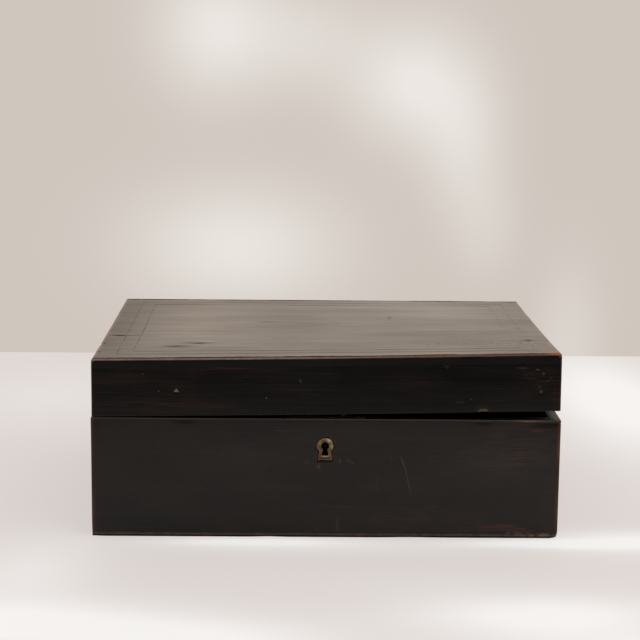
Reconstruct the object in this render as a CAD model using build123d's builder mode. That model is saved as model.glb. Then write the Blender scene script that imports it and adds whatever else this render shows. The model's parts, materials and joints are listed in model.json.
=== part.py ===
from build123d import *
import os
from math import radians, sqrt, tan

os.makedirs("parts", exist_ok=True)

# A wooden stationery box with a hinged lid, a half-mortise box lock and two butt hinges.
# Millimetres. +X is to the right, -Y is the front and +Z is up. The origin lies under the
# middle of the box, on the surface it stands on.

# ---- Driving dimensions: carcass ----
box_width = 332.0
box_depth = 255.5
base_height = 86.5
lid_height = 41.5
lid_end_shrinkage = 0.7
front_thickness = 10.0
end_thickness = 8.0
top_thickness = 7.0
bottom_thickness = 6.0
joint_rebate = 4.0
arris_radius = 0.8
glue_line = 0.05
lid_twist = 4.0
lid_bow = 2.2
lid_sag = 1.5

# ---- Driving dimensions: stringing let into the lid ----
outer_string_inset = 16.5
inner_string_inset = 27.5
string_width = 0.9
string_depth = 0.7
string_sunk = 0.15
string_fit = 0.03

# ---- Driving dimensions: paper lining and dividers ----
lining_thickness = 0.5
lining_margin = 0.3
lid_lining_clearance = 0.2
divider_thickness = 4.0
divider_height = 54.0
divider_groove = 1.2
divider_fit = 0.06
long_divider_x = 47.0
short_divider_y = -20.0
finger_scoop_radius = 60.0
finger_scoop_depth = 9.0

# ---- Driving dimensions: hinges ----
hinge_length = 38.0
hinge_end_distance = 62.0
leaf_width = 7.6
leaf_thickness = 1.4
leaf_let_in = 0.5
leaf_meeting_gap = 0.3
knuckle_radius = 2.3
knuckle_count = 5
knuckle_gap = 0.2
knuckle_room = 0.3
pin_radius = 1.0
pin_clearance = 0.05
lid_opening = 100.0
arris_clearance = 0.1
hinge_screws_per_leaf = 3
hinge_screw_pitch = 12.5
hinge_screw_setback = 5.2
hinge_screw_length = 9.0

# ---- Driving dimensions: wood screws ----
screw_head_radius = 2.0
screw_shank_radius = 1.0
screw_fit = 0.05
screw_sides = 12
screw_head_land = 0.15

# ---- Driving dimensions: escutcheon and keyhole ----
keyhole_x = -0.7
keyhole_drop = 19.6
escutcheon_head_radius = 6.0
escutcheon_shoulder_drop = 2.0
escutcheon_waist_half = 4.0
escutcheon_waist_drop = 3.1
escutcheon_foot_half = 5.4
escutcheon_foot_drop = 10.2
escutcheon_inset = 2.0
escutcheon_proud = 0.3
escutcheon_bevel = 0.3
escutcheon_fit = 0.05
keyhole_head_radius = 2.8
keyhole_neck_half = 1.5
keyhole_neck_drop = 2.35
keyhole_foot_half = 2.35
keyhole_foot_drop = 6.7
keyhole_ease = 0.25

# ---- Driving dimensions: lock ----
lock_plate_width = 56.0
lock_plate_height = 34.0
lock_plate_thickness = 1.2
selvedge_depth = 7.2
lock_fit = 0.05
case_width = 44.0
case_height = 28.0
case_wall = 0.8
case_room = 4.3
mortise_ease = 0.3
drill_pin_radius = 1.2
drill_pin_setback = 2.5
lock_screw_side = 25.0
lock_screw_top_drop = 7.0
lock_screw_bottom_drop = 29.0
lock_screw_length = 7.0

# ---- Driving dimensions: bolt ----
bolt_throw = 4.5
bolt_bar_drop = 11.4
bolt_bar_height = 4.5
bolt_side_clearance = 0.3
bolt_hook_thickness = 1.6
bolt_hook_post = 2.2
bolt_beak_height = 2.0
bolt_beak_clearance = 0.4
bolt_rest_clearance = 0.6
bolt_home_clearance = 0.3
talon_width = 5.0
talon_depth = 2.6
stump_radius = 0.9
stump_clearance = 0.1
stump_from_middle = (-12.5, 7.5)
spring_thickness = 0.4
spring_width = 2.6
spring_seat_x = (-8.5, 2.5)
spring_clearance = 0.1

# ---- Driving dimensions: link plate on the lid ----
staple_spacing = 24.0
staple_thickness = 2.4
staple_width = 3.6
staple_window = 2.0
staple_reach = 5.5
staple_bar = 1.5
staple_slot_ease = 0.7
link_plate_length = 43.0
link_plate_depth = 6.2
link_plate_thickness = 1.2
link_screw_from_middle = 17.4
link_screw_length = 8.0

# ---- Places worked out from the driving dimensions ----
left_x = -box_width / 2
right_x = box_width / 2
front_y = -box_depth / 2
back_y = box_depth / 2
lid_left_x = left_x + lid_end_shrinkage
lid_right_x = right_x - lid_end_shrinkage
inner_left_x = left_x + end_thickness
inner_right_x = right_x - end_thickness
inner_front_y = front_y + front_thickness
inner_back_y = back_y - front_thickness
lap = front_thickness - joint_rebate
end_lap = end_thickness - joint_rebate

seam_gap = 2 * (leaf_thickness - leaf_let_in) + leaf_meeting_gap
lid_bottom_z = base_height + seam_gap
lid_top_z = lid_bottom_z + lid_height
rail_top_z = lid_top_z - top_thickness

hinge_axis_inset = seam_gap / 2 / tan(radians(lid_opening / 2)) - arris_clearance
hinge_y = back_y - hinge_axis_inset
hinge_z = base_height + seam_gap / 2
hinge_middle_x = box_width / 2 - hinge_end_distance
hinge_screw_y = hinge_y - hinge_screw_setback

keyhole_z = base_height - keyhole_drop
plate_y = inner_front_y - lock_plate_thickness
case_front_y = plate_y - case_room - case_wall
lock_middle_y = plate_y - case_room / 2
selvedge_under_z = base_height - lock_plate_thickness
case_bottom_z = selvedge_under_z - case_height


def span_rectangle(low_x, high_x, low_y, high_y, mode=Mode.ADD):
    """Rectangle in the current sketch between two corners."""
    with Locations(((low_x + high_x) / 2, (low_y + high_y) / 2)):
        Rectangle(high_x - low_x, high_y - low_y, mode=mode)


def span_box(x_span, y_span, z_span, mode=Mode.ADD):
    """Block in the current part between two corners."""
    middle = [sum(span) / 2 for span in (x_span, y_span, z_span)]
    sides = [span[1] - span[0] for span in (x_span, y_span, z_span)]
    with Locations(tuple(middle)):
        Box(*sides, mode=mode)


def finish(piece, name):
    """Labels a finished piece and writes its STEP file."""
    piece.part.label = name
    export_step(piece.part, f"parts/{name}.step")


# ---- The lid's twist ----
def along(x):
    """0 at the left end of the box and 1 at the right end."""
    return (x - left_x) / box_width


def forward(y):
    """0 at the rear face of the box and 1 at the front face."""
    return (back_y - y) / box_depth


def twist_rise(x, y):
    """How far the warped lid rises at a point.

    It grows from nothing along the rear edge: the front edge sags at its left end, where the lid
    rests nearly on the base, and lifts in a bow to its right end.
    """
    return (lid_twist * along(x) + lid_bow * along(x) ** 2 - lid_sag) * forward(y)


def twisted_block(x_span, y_span, z_span, mode=Mode.ADD):
    """Board between two corners that follows the lid's twist, in the current part.

    Its underside is a parabola across the box and straight from back to front, and the board
    is that surface carried straight up.
    """
    low_x, high_x = x_span
    low_z, high_z = z_span
    rows = []
    for y in y_span:
        middle_twist = lid_twist * (along(low_x) + along(high_x)) / 2
        middle_bow = lid_bow * along(low_x) * along(high_x)
        middle_rise = (middle_twist + middle_bow - lid_sag) * forward(y)
        low_corner = (low_x, y, low_z + twist_rise(low_x, y))
        middle = ((low_x + high_x) / 2, y, low_z + middle_rise)
        high_corner = (high_x, y, low_z + twist_rise(high_x, y))
        rows.append([low_corner, middle, high_corner])
    underside = Face.make_bezier_surface(rows)
    extrude(underside, amount=high_z - low_z, dir=(0, 0, 1), mode=mode)


# ---- Carcass boards ----
def round_outer_corners(piece, outer_y):
    """Eases the two upright outer corners of a front or back board."""
    corners = piece.edges().filter_by(Axis.Z).filter_by_position(Axis.Y, outer_y, outer_y)
    outer = corners.sort_by(Axis.X)
    fillet([outer[0], outer[-1]], radius=arris_radius)


def cut_end_rebates(inner_y, inward, z_span):
    """Rebates at both ends of a front or back board, where the end boards seat."""
    y_span = sorted((inner_y, inner_y - inward * joint_rebate))
    span_box((left_x, inner_left_x), y_span, z_span, mode=Mode.SUBTRACT)
    span_box((inner_right_x, right_x), y_span, z_span, mode=Mode.SUBTRACT)


def base_long_board(outer_y, inner_y, inward):
    """Front or back board of the base, before anything is let into it."""
    y_span = sorted((outer_y, inner_y))
    rebate_y = sorted((inner_y, inner_y - inward * joint_rebate))
    span_box((left_x, right_x), y_span, (0, base_height))
    cut_end_rebates(inner_y, inward, (0, base_height))
    span_box((left_x, right_x), rebate_y, (0, bottom_thickness), mode=Mode.SUBTRACT)
    groove_y = sorted((inner_y, inner_y - inward * (divider_groove + divider_fit)))
    groove_half = divider_thickness / 2 + divider_fit
    groove_x = (long_divider_x - groove_half, long_divider_x + groove_half)
    groove_z = (bottom_thickness, bottom_thickness + lining_thickness + divider_height)
    span_box(groove_x, groove_y, groove_z, mode=Mode.SUBTRACT)


def base_end_board(x_span, rebate_x):
    """End board of the base, seated in the rebates of the front and back boards."""
    with BuildSketch(Plane.XY) as plan:
        span_rectangle(*x_span, front_y + lap, back_y - lap)
    extrude(plan.sketch, amount=base_height)
    span_box(rebate_x, (front_y, back_y), (0, bottom_thickness), mode=Mode.SUBTRACT)


# ---- Wood screws ----
def make_screw(length, ease=0.0):
    """Countersunk wood screw of few sides, its head flush with z = 0 and its tip pointing down.

    Grown by an ease, the same shape is the hole that the screw is driven into.
    """
    head_radius = screw_head_radius + ease
    shank_radius = screw_shank_radius + ease
    head_taper = head_radius - shank_radius
    with BuildPart() as screw:
        with BuildSketch(Plane.XY):
            RegularPolygon(head_radius, screw_sides, major_radius=False)
        extrude(amount=-screw_head_land - head_taper)
        chamfer(screw.edges().group_by(Axis.Z)[0], length=head_taper)
        with BuildSketch(Plane.XY):
            RegularPolygon(shank_radius, screw_sides, major_radius=False)
        extrude(amount=-length - ease)
    return screw.part


def sink_screws(screw_hole, places):
    """Countersunk or pilot holes in the current part, one for each screw's place."""
    with Locations(*places):
        add(screw_hole, mode=Mode.SUBTRACT)


def screw_set(name, screw, places):
    """One node holding a screw at each place."""
    with BuildPart() as screws:
        with Locations(*places):
            add(screw)
    finish(screws, name)


hinge_screw = make_screw(hinge_screw_length)
hinge_screw_hole = make_screw(hinge_screw_length, screw_fit)
lock_screw = make_screw(lock_screw_length)
lock_screw_hole = make_screw(lock_screw_length, screw_fit)
link_screw = make_screw(link_screw_length)
link_screw_hole = make_screw(link_screw_length, screw_fit)


# ---- Where the hinges and their screws lie ----
hinge_middles = {"left_hinge": -hinge_middle_x, "right_hinge": hinge_middle_x}
hinge_half = hinge_length / 2
knuckle_pitch = hinge_length / knuckle_count


def leaf_face_z(side):
    """Height of the face that a leaf turns towards the other: side -1 is the base, 1 the lid."""
    return hinge_z + side * leaf_meeting_gap / 2


def leaf_screw_places(middle_x, side):
    """Head centres of a leaf's screws, their heads facing the other leaf."""
    first = -(hinge_screws_per_leaf - 1) / 2
    return [
        Plane(
            origin=(middle_x + (first + step) * hinge_screw_pitch, hinge_screw_y, leaf_face_z(side)),
            z_dir=(0, 0, -side),
        )
        for step in range(hinge_screws_per_leaf)
    ]


def all_leaf_screw_places(side):
    """Head centres of the screws of both hinges, in the base or in the lid."""
    return [
        place for middle_x in hinge_middles.values() for place in leaf_screw_places(middle_x, side)
    ]


def let_in_hinges(side):
    """Seats of both leaves, with the hollows that the knuckles turn in and the screw holes."""
    outer_z = leaf_face_z(side) + side * leaf_thickness
    knuckle_reach = knuckle_radius + knuckle_room
    for middle_x in hinge_middles.values():
        x_span = (middle_x - hinge_half - knuckle_gap, middle_x + hinge_half + knuckle_gap)
        leaf_y = (hinge_y - leaf_width, back_y + knuckle_reach)
        knuckle_y = (hinge_y - knuckle_reach, back_y + knuckle_reach)
        span_box(x_span, leaf_y, sorted((hinge_z, outer_z)), mode=Mode.SUBTRACT)
        knuckle_z = sorted((hinge_z, hinge_z + side * knuckle_reach))
        span_box(x_span, knuckle_y, knuckle_z, mode=Mode.SUBTRACT)
    sink_screws(hinge_screw_hole, all_leaf_screw_places(side))


# ---- Outlines of the keyhole and its escutcheon ----
def keyhole_outline(ease=0.0, mode=Mode.ADD):
    """Keyhole in the current sketch: a round head over a slot that flares to its foot."""
    neck = keyhole_neck_half + ease
    foot = keyhole_foot_half + ease
    neck_z = keyhole_z - keyhole_neck_drop
    foot_z = keyhole_z - keyhole_foot_drop - ease
    with Locations((keyhole_x, keyhole_z)):
        Circle(keyhole_head_radius + ease, mode=mode)
    with BuildLine() as slot:
        Polyline(
            (keyhole_x - neck, neck_z),
            (keyhole_x + neck, neck_z),
            (keyhole_x + foot, foot_z),
            (keyhole_x - foot, foot_z),
            close=True,
        )
    make_face(slot.edges(), mode=mode)


def escutcheon_outline(ease=0.0):
    """Escutcheon in the current sketch: a round head, a waist and a skirt that flares."""
    shoulder = sqrt(escutcheon_head_radius**2 - escutcheon_shoulder_drop**2) + ease
    shoulder_z = keyhole_z - escutcheon_shoulder_drop
    waist = escutcheon_waist_half + ease
    waist_z = keyhole_z - escutcheon_waist_drop
    foot = escutcheon_foot_half + ease
    foot_z = keyhole_z - escutcheon_foot_drop - ease
    crown = (keyhole_x, keyhole_z + escutcheon_head_radius + ease)
    left_shoulder = (keyhole_x - shoulder, shoulder_z)
    right_shoulder = (keyhole_x + shoulder, shoulder_z)
    with BuildLine() as outline:
        ThreePointArc(left_shoulder, crown, right_shoulder)
        Polyline(
            right_shoulder,
            (keyhole_x + waist, waist_z),
            (keyhole_x + foot, foot_z),
            (keyhole_x - foot, foot_z),
            (keyhole_x - waist, waist_z),
            left_shoulder,
        )
    make_face(outline.edges())


# ---- Where the lock lies ----
plate_half = lock_plate_width / 2
case_half = case_width / 2
room_half = case_half - case_wall
room_front_y = case_front_y + case_wall
room_y = (room_front_y, plate_y)
selvedge_front_y = inner_front_y - selvedge_depth
lock_screw_places = [
    Plane(origin=(x, inner_front_y, base_height - drop), z_dir=(0, 1, 0))
    for x in (-lock_screw_side, lock_screw_side)
    for drop in (lock_screw_top_drop, lock_screw_bottom_drop)
]
staple_places_x = (-staple_spacing / 2, staple_spacing / 2)


def let_in_lock():
    """Seats of the lock's plate, selvedge and case, the keyhole and the escutcheon's seat."""
    plate_x = (-plate_half - lock_fit, plate_half + lock_fit)
    plate_z = (base_height - lock_plate_height - lock_fit, base_height)
    selvedge_z = (selvedge_under_z, base_height)
    selvedge_y = (selvedge_front_y - lock_fit, inner_front_y)
    mortise_x = (-case_half - mortise_ease, case_half + mortise_ease)
    mortise_y = (case_front_y - mortise_ease, inner_front_y)
    mortise_z = (case_bottom_z - mortise_ease, base_height)
    span_box(plate_x, (plate_y, inner_front_y), plate_z, mode=Mode.SUBTRACT)
    span_box(plate_x, selvedge_y, selvedge_z, mode=Mode.SUBTRACT)
    span_box(mortise_x, mortise_y, mortise_z, mode=Mode.SUBTRACT)
    sink_screws(lock_screw_hole, lock_screw_places)
    with BuildSketch(Plane.XZ.offset(-inner_front_y)) as keyhole:
        keyhole_outline(keyhole_ease)
    extrude(keyhole.sketch, amount=front_thickness, mode=Mode.SUBTRACT)
    with BuildSketch(Plane.XZ.offset(-front_y - escutcheon_inset)) as escutcheon_seat:
        escutcheon_outline(escutcheon_fit)
    extrude(escutcheon_seat.sketch, amount=escutcheon_inset, mode=Mode.SUBTRACT)


# ---- Base: carcass ----
with BuildPart() as front_board:
    base_long_board(front_y, inner_front_y, 1)
    round_outer_corners(front_board, front_y)
    let_in_lock()
finish(front_board, "front_board")

with BuildPart() as back_board:
    base_long_board(back_y, inner_back_y, -1)
    round_outer_corners(back_board, back_y)
    let_in_hinges(-1)
finish(back_board, "back_board")

with BuildPart() as left_end_board:
    base_end_board((left_x, inner_left_x), (left_x + end_lap, inner_left_x))
finish(left_end_board, "left_end_board")

with BuildPart() as right_end_board:
    base_end_board((inner_right_x, right_x), (inner_right_x, right_x - end_lap))
    groove_half = divider_thickness / 2 + divider_fit
    groove_y = (short_divider_y - groove_half, short_divider_y + groove_half)
    groove_x = (inner_right_x, inner_right_x + divider_groove + divider_fit)
    groove_z = (bottom_thickness, bottom_thickness + lining_thickness + divider_height)
    span_box(groove_x, groove_y, groove_z, mode=Mode.SUBTRACT)
finish(right_end_board, "right_end_board")

with BuildPart() as bottom_board:
    with BuildSketch(Plane.XY):
        span_rectangle(left_x + end_lap, right_x - end_lap, front_y + lap, back_y - lap)
    extrude(amount=bottom_thickness)
finish(bottom_board, "bottom_board")

# ---- Base: lining and dividers ----
floor_z = bottom_thickness + lining_thickness

with BuildPart() as floor_lining:
    with BuildSketch(Plane.XY.offset(bottom_thickness)):
        span_rectangle(
            inner_left_x + lining_margin,
            inner_right_x - lining_margin,
            inner_front_y + lining_margin,
            inner_back_y - lining_margin,
        )
    extrude(amount=lining_thickness)
finish(floor_lining, "floor_lining")

long_divider_side_x = long_divider_x + divider_thickness / 2

with BuildPart() as long_divider:
    with BuildSketch(Plane.XY.offset(floor_z)):
        span_rectangle(
            long_divider_x - divider_thickness / 2,
            long_divider_side_x,
            inner_front_y - divider_groove,
            inner_back_y + divider_groove,
        )
    extrude(amount=divider_height)
    seat_half = divider_thickness / 2 + divider_fit
    seat_x = (long_divider_side_x - divider_groove - divider_fit, long_divider_side_x)
    seat_y = (short_divider_y - seat_half, short_divider_y + seat_half)
    span_box(seat_x, seat_y, (floor_z, floor_z + divider_height), mode=Mode.SUBTRACT)
finish(long_divider, "long_divider")

with BuildPart() as short_divider:
    short_start_x = long_divider_side_x - divider_groove
    short_end_x = inner_right_x + divider_groove
    short_middle_x = (short_start_x + short_end_x) / 2
    top_z = floor_z + divider_height
    with BuildSketch(Plane.XZ.offset(-short_divider_y)):
        span_rectangle(short_start_x, short_end_x, floor_z, top_z)
        with Locations((short_middle_x, top_z - finger_scoop_depth + finger_scoop_radius)):
            Circle(finger_scoop_radius, mode=Mode.SUBTRACT)
    extrude(amount=divider_thickness / 2, both=True)
finish(short_divider, "short_divider")

# ---- Where the link plate lies: flat on the twisted underside of the front rail ----
link_origin_z = lid_bottom_z + twist_rise(0, lock_middle_y)
link_slope_x = (lid_twist + 2 * lid_bow * along(0)) * forward(lock_middle_y) / box_width
link_slope_y = (lid_sag - lid_twist * along(0) - lid_bow * along(0) ** 2) / box_depth
link_plane = Plane(
    origin=(0, lock_middle_y, link_origin_z),
    x_dir=(1, 0, link_slope_x),
    z_dir=(-link_slope_x, -link_slope_y, 1),
)
link_screw_places = [
    Plane(
        origin=link_plane.from_local_coords((x, 0, 0)),
        x_dir=link_plane.x_dir,
        z_dir=-link_plane.z_dir,
    )
    for x in (-link_screw_from_middle, link_screw_from_middle)
]

# ---- Lid: frame and top ----
rail_z = (lid_bottom_z, rail_top_z - glue_line)

with BuildPart() as lid_front_rail:
    twisted_block((lid_left_x, lid_right_x), (front_y, inner_front_y), rail_z)
    cut_end_rebates(inner_front_y, 1, (0, lid_top_z + lid_twist + lid_bow))
    with BuildSketch(link_plane.offset(-link_plate_thickness)):
        Rectangle(link_plate_length + 2 * lock_fit, link_plate_depth + 2 * lock_fit)
    extrude(amount=2 * link_plate_thickness, mode=Mode.SUBTRACT)
    sink_screws(link_screw_hole, link_screw_places)
finish(lid_front_rail, "lid_front_rail")

with BuildPart() as lid_back_rail:
    twisted_block((lid_left_x, lid_right_x), (inner_back_y, back_y), rail_z)
    cut_end_rebates(inner_back_y, -1, (0, lid_top_z + lid_twist + lid_bow))
    let_in_hinges(1)
finish(lid_back_rail, "lid_back_rail")

lid_ends_x = {"left": (lid_left_x, inner_left_x), "right": (inner_right_x, lid_right_x)}
for side_name, rail_x in lid_ends_x.items():
    with BuildPart() as lid_end_rail:
        twisted_block(rail_x, (front_y + lap, back_y - lap), rail_z)
    finish(lid_end_rail, f"lid_{side_name}_rail")


def string_ring(inset, low_z, high_z, fit, joint=0.0, mode=Mode.ADD):
    """Four strips in a ring that follow the lid's top, with an open joint between them."""
    outer_x = (left_x + inset - fit, right_x - inset + fit)
    outer_y = (front_y + inset - fit, back_y - inset + fit)
    inset_in = inset + string_width + fit
    inner_x = (left_x + inset_in, right_x - inset_in)
    inner_y = (front_y + inset_in, back_y - inset_in)
    for x_span in ((outer_x[0], inner_x[0]), (inner_x[1], outer_x[1])):
        twisted_block(x_span, outer_y, (low_z, high_z), mode=mode)
    cross_x = (inner_x[0] + joint, inner_x[1] - joint)
    for y_span in ((outer_y[0], inner_y[0]), (inner_y[1], outer_y[1])):
        twisted_block(cross_x, y_span, (low_z, high_z), mode=mode)


with BuildPart() as lid_top_board:
    twisted_block((lid_left_x, lid_right_x), (front_y, back_y), (rail_top_z, lid_top_z))
    for string_inset in (outer_string_inset, inner_string_inset):
        groove_z = (lid_top_z - string_depth, lid_top_z + string_depth)
        string_ring(string_inset, *groove_z, string_fit, mode=Mode.SUBTRACT)
finish(lid_top_board, "lid_top_board")

for string_name, string_inset in (("outer", outer_string_inset), ("inner", inner_string_inset)):
    with BuildPart() as stringing:
        string_low_z = lid_top_z - string_depth + string_fit
        string_ring(string_inset, string_low_z, lid_top_z - string_sunk, 0.0, joint=string_fit)
    finish(stringing, f"{string_name}_stringing")

with BuildPart() as lid_lining:
    twisted_block(
        (inner_left_x + lining_margin, inner_right_x - lining_margin),
        (inner_front_y + lining_margin, inner_back_y - lining_margin),
        (rail_top_z - lid_lining_clearance - lining_thickness, rail_top_z - lid_lining_clearance),
    )
finish(lid_lining, "lid_lining")

# ---- Hinges ----
def hinge_leaf(name, middle_x, side):
    """Leaf of a butt hinge with its own knuckles on the pin's line: side -1 base, 1 lid."""
    start_x = middle_x - hinge_half
    plate_z = sorted((leaf_face_z(side), leaf_face_z(side) + side * leaf_thickness))
    plate_end_y = hinge_y - knuckle_radius - knuckle_room
    first_knuckle = 0 if side < 0 else 1
    with BuildPart() as leaf:
        with BuildSketch(Plane.YZ.offset(start_x)):
            span_rectangle(hinge_y - leaf_width, plate_end_y, *plate_z)
        extrude(amount=hinge_length)
        for index in range(first_knuckle, knuckle_count, 2):
            with BuildSketch(Plane.YZ.offset(start_x + index * knuckle_pitch + knuckle_gap / 2)):
                span_rectangle(plate_end_y, hinge_y, *plate_z)
                with Locations((hinge_y, hinge_z)):
                    Circle(knuckle_radius)
            extrude(amount=knuckle_pitch - knuckle_gap)
        with BuildSketch(Plane.YZ.offset(start_x)):
            with Locations((hinge_y, hinge_z)):
                Circle(pin_radius + pin_clearance)
        extrude(amount=hinge_length, mode=Mode.SUBTRACT)
        sink_screws(hinge_screw_hole, leaf_screw_places(middle_x, side))
    finish(leaf, name)


for hinge_name, middle_x in hinge_middles.items():
    hinge_leaf(f"{hinge_name}_base_leaf", middle_x, -1)
    hinge_leaf(f"{hinge_name}_lid_leaf", middle_x, 1)
    with BuildPart() as hinge_pin:
        with BuildSketch(Plane.YZ.offset(middle_x - hinge_half + knuckle_gap / 2)):
            with Locations((hinge_y, hinge_z)):
                Circle(pin_radius)
        extrude(amount=hinge_length - knuckle_gap)
    finish(hinge_pin, f"{hinge_name}_pin")

screw_set("base_hinge_screws", hinge_screw, all_leaf_screw_places(-1))
screw_set("lid_hinge_screws", hinge_screw, all_leaf_screw_places(1))

# ---- Escutcheon ----
with BuildPart() as escutcheon:
    with BuildSketch(Plane.XZ.offset(-front_y - escutcheon_inset)):
        escutcheon_outline()
        keyhole_outline(mode=Mode.SUBTRACT)
    extrude(amount=escutcheon_inset + escutcheon_proud)
    front_face = escutcheon.faces().sort_by(Axis.Y)[0]
    chamfer(front_face.edges(), length=escutcheon_bevel)
finish(escutcheon, "escutcheon")

# ---- Lock: plate, case, drill pin and screws ----
bar_top_z = base_height - bolt_bar_drop
bar_bottom_z = bar_top_z - bolt_bar_height
bar_middle_z = (bar_top_z + bar_bottom_z) / 2

with BuildPart() as lock_plate:
    with BuildSketch(Plane.XZ.offset(-inner_front_y)):
        span_rectangle(-plate_half, plate_half, base_height - lock_plate_height, base_height)
    extrude(amount=lock_plate_thickness)
    with BuildSketch(Plane.XY.offset(selvedge_under_z)):
        span_rectangle(-plate_half, plate_half, selvedge_front_y, inner_front_y)
        slot_half = staple_thickness / 2 + staple_slot_ease
        for staple_x in staple_places_x:
            span_rectangle(staple_x - slot_half, staple_x + slot_half, *room_y, mode=Mode.SUBTRACT)
    extrude(amount=lock_plate_thickness)
    with BuildSketch(Plane.XZ.offset(-plate_y)):
        with Locations(*[(x, bar_middle_z) for x in stump_from_middle]):
            Circle(stump_radius)
    extrude(amount=case_room - bolt_side_clearance)
    with BuildSketch(Plane.XZ.offset(-inner_front_y)):
        with Locations((keyhole_x, keyhole_z)):
            Circle(drill_pin_radius + lock_fit)
    extrude(amount=lock_plate_thickness, mode=Mode.SUBTRACT)
    sink_screws(lock_screw_hole, lock_screw_places)
finish(lock_plate, "lock_plate")

with BuildPart() as lock_case:
    with BuildSketch(Plane.XZ.offset(-plate_y)):
        span_rectangle(-case_half, case_half, case_bottom_z, selvedge_under_z)
    extrude(amount=case_room + case_wall)
    with BuildSketch(Plane.XZ.offset(-plate_y)):
        span_rectangle(-room_half, room_half, case_bottom_z + case_wall, selvedge_under_z)
    extrude(amount=case_room, mode=Mode.SUBTRACT)
    with BuildSketch(Plane.XZ.offset(-plate_y)):
        keyhole_outline()
    extrude(amount=case_room + case_wall, mode=Mode.SUBTRACT)
finish(lock_case, "lock_case")

with BuildPart() as drill_pin:
    with BuildSketch(Plane.XZ.offset(-inner_front_y)):
        with Locations((keyhole_x, keyhole_z)):
            Circle(drill_pin_radius)
    extrude(amount=front_thickness - drill_pin_setback)
    pin_nose = drill_pin.faces().sort_by(Axis.Y)[0]
    chamfer(pin_nose.edges(), length=drill_pin_radius / 3)
finish(drill_pin, "drill_pin")

screw_set("lock_screws", lock_screw, lock_screw_places)

# ---- Lock: bolt and its spring, drawn with the bolt shot back ----
beak_length = bolt_throw - bolt_rest_clearance + bolt_home_clearance
beak_high_z = selvedge_under_z - bolt_beak_clearance
beak_low_z = beak_high_z - bolt_beak_height
beak_tips_x = [x - staple_thickness / 2 - bolt_rest_clearance for x in staple_places_x]
post_ends_x = [tip - beak_length for tip in beak_tips_x]
bar_low_x = post_ends_x[0] - bolt_hook_post
bar_high_x = beak_tips_x[-1]
talon_middle_x = keyhole_x - bolt_throw / 2

with BuildPart() as lock_bolt:
    with BuildSketch(Plane.XZ.offset(-plate_y + bolt_side_clearance)):
        span_rectangle(bar_low_x, bar_high_x, bar_bottom_z, bar_top_z)
        slot_length = bolt_throw + 2 * (stump_radius + stump_clearance)
        with Locations(*[(x - bolt_throw / 2, bar_middle_z) for x in stump_from_middle]):
            SlotOverall(slot_length, 2 * (stump_radius + stump_clearance), mode=Mode.SUBTRACT)
        talon_half = talon_width / 2
        span_rectangle(
            talon_middle_x - talon_half,
            talon_middle_x + talon_half,
            bar_bottom_z,
            bar_bottom_z + talon_depth,
            mode=Mode.SUBTRACT,
        )
    extrude(amount=case_room - 2 * bolt_side_clearance)
    with BuildSketch(Plane.XZ.offset(-lock_middle_y)):
        for tip_x, post_x in zip(beak_tips_x, post_ends_x):
            span_rectangle(post_x - bolt_hook_post, post_x, bar_top_z, beak_high_z)
            span_rectangle(post_x, tip_x, beak_low_z, beak_high_z)
    extrude(amount=bolt_hook_thickness / 2, both=True)
finish(lock_bolt, "lock_bolt")

with BuildPart() as bolt_spring:
    spring_low_x, spring_high_x = spring_seat_x
    spring_middle_x = (spring_low_x + spring_high_x) / 2
    spring_crown_z = selvedge_under_z - spring_clearance
    with BuildSketch(Plane.XZ.offset(-lock_middle_y)):
        with BuildLine():
            ThreePointArc(
                (spring_low_x, bar_top_z), (spring_middle_x, spring_crown_z), (spring_high_x, bar_top_z)
            )
            Line((spring_high_x, bar_top_z), (spring_high_x - spring_thickness, bar_top_z))
            ThreePointArc(
                (spring_high_x - spring_thickness, bar_top_z),
                (spring_middle_x, spring_crown_z - spring_thickness),
                (spring_low_x + spring_thickness, bar_top_z),
            )
            Line((spring_low_x + spring_thickness, bar_top_z), (spring_low_x, bar_top_z))
        make_face()
    extrude(amount=spring_width / 2, both=True)
finish(bolt_spring, "bolt_spring")

# ---- Link plate and its staples under the lid's front rail ----
staple_length = link_origin_z - base_height + staple_reach

with BuildPart() as link_plate:
    with BuildSketch(link_plane):
        Rectangle(link_plate_length, link_plate_depth)
    extrude(amount=link_plate_thickness)
    for staple_x in staple_places_x:
        staple_plane = Plane(
            origin=link_plane.from_local_coords((staple_x, 0, 0)),
            x_dir=link_plane.y_dir,
            z_dir=link_plane.x_dir,
        )
        with BuildSketch(staple_plane):
            span_rectangle(-staple_width / 2, staple_width / 2, -staple_length, 0)
            span_rectangle(
                -staple_window / 2,
                staple_window / 2,
                staple_bar - staple_length,
                -link_plate_thickness / 2,
                mode=Mode.SUBTRACT,
            )
        extrude(amount=staple_thickness / 2, both=True)
    sink_screws(link_screw_hole, link_screw_places)
finish(link_plate, "link_plate")

screw_set("link_plate_screws", link_screw, link_screw_places)
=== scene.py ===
import json
from functools import partialmethod
from math import ceil, cos, pi, radians, sin

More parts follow.
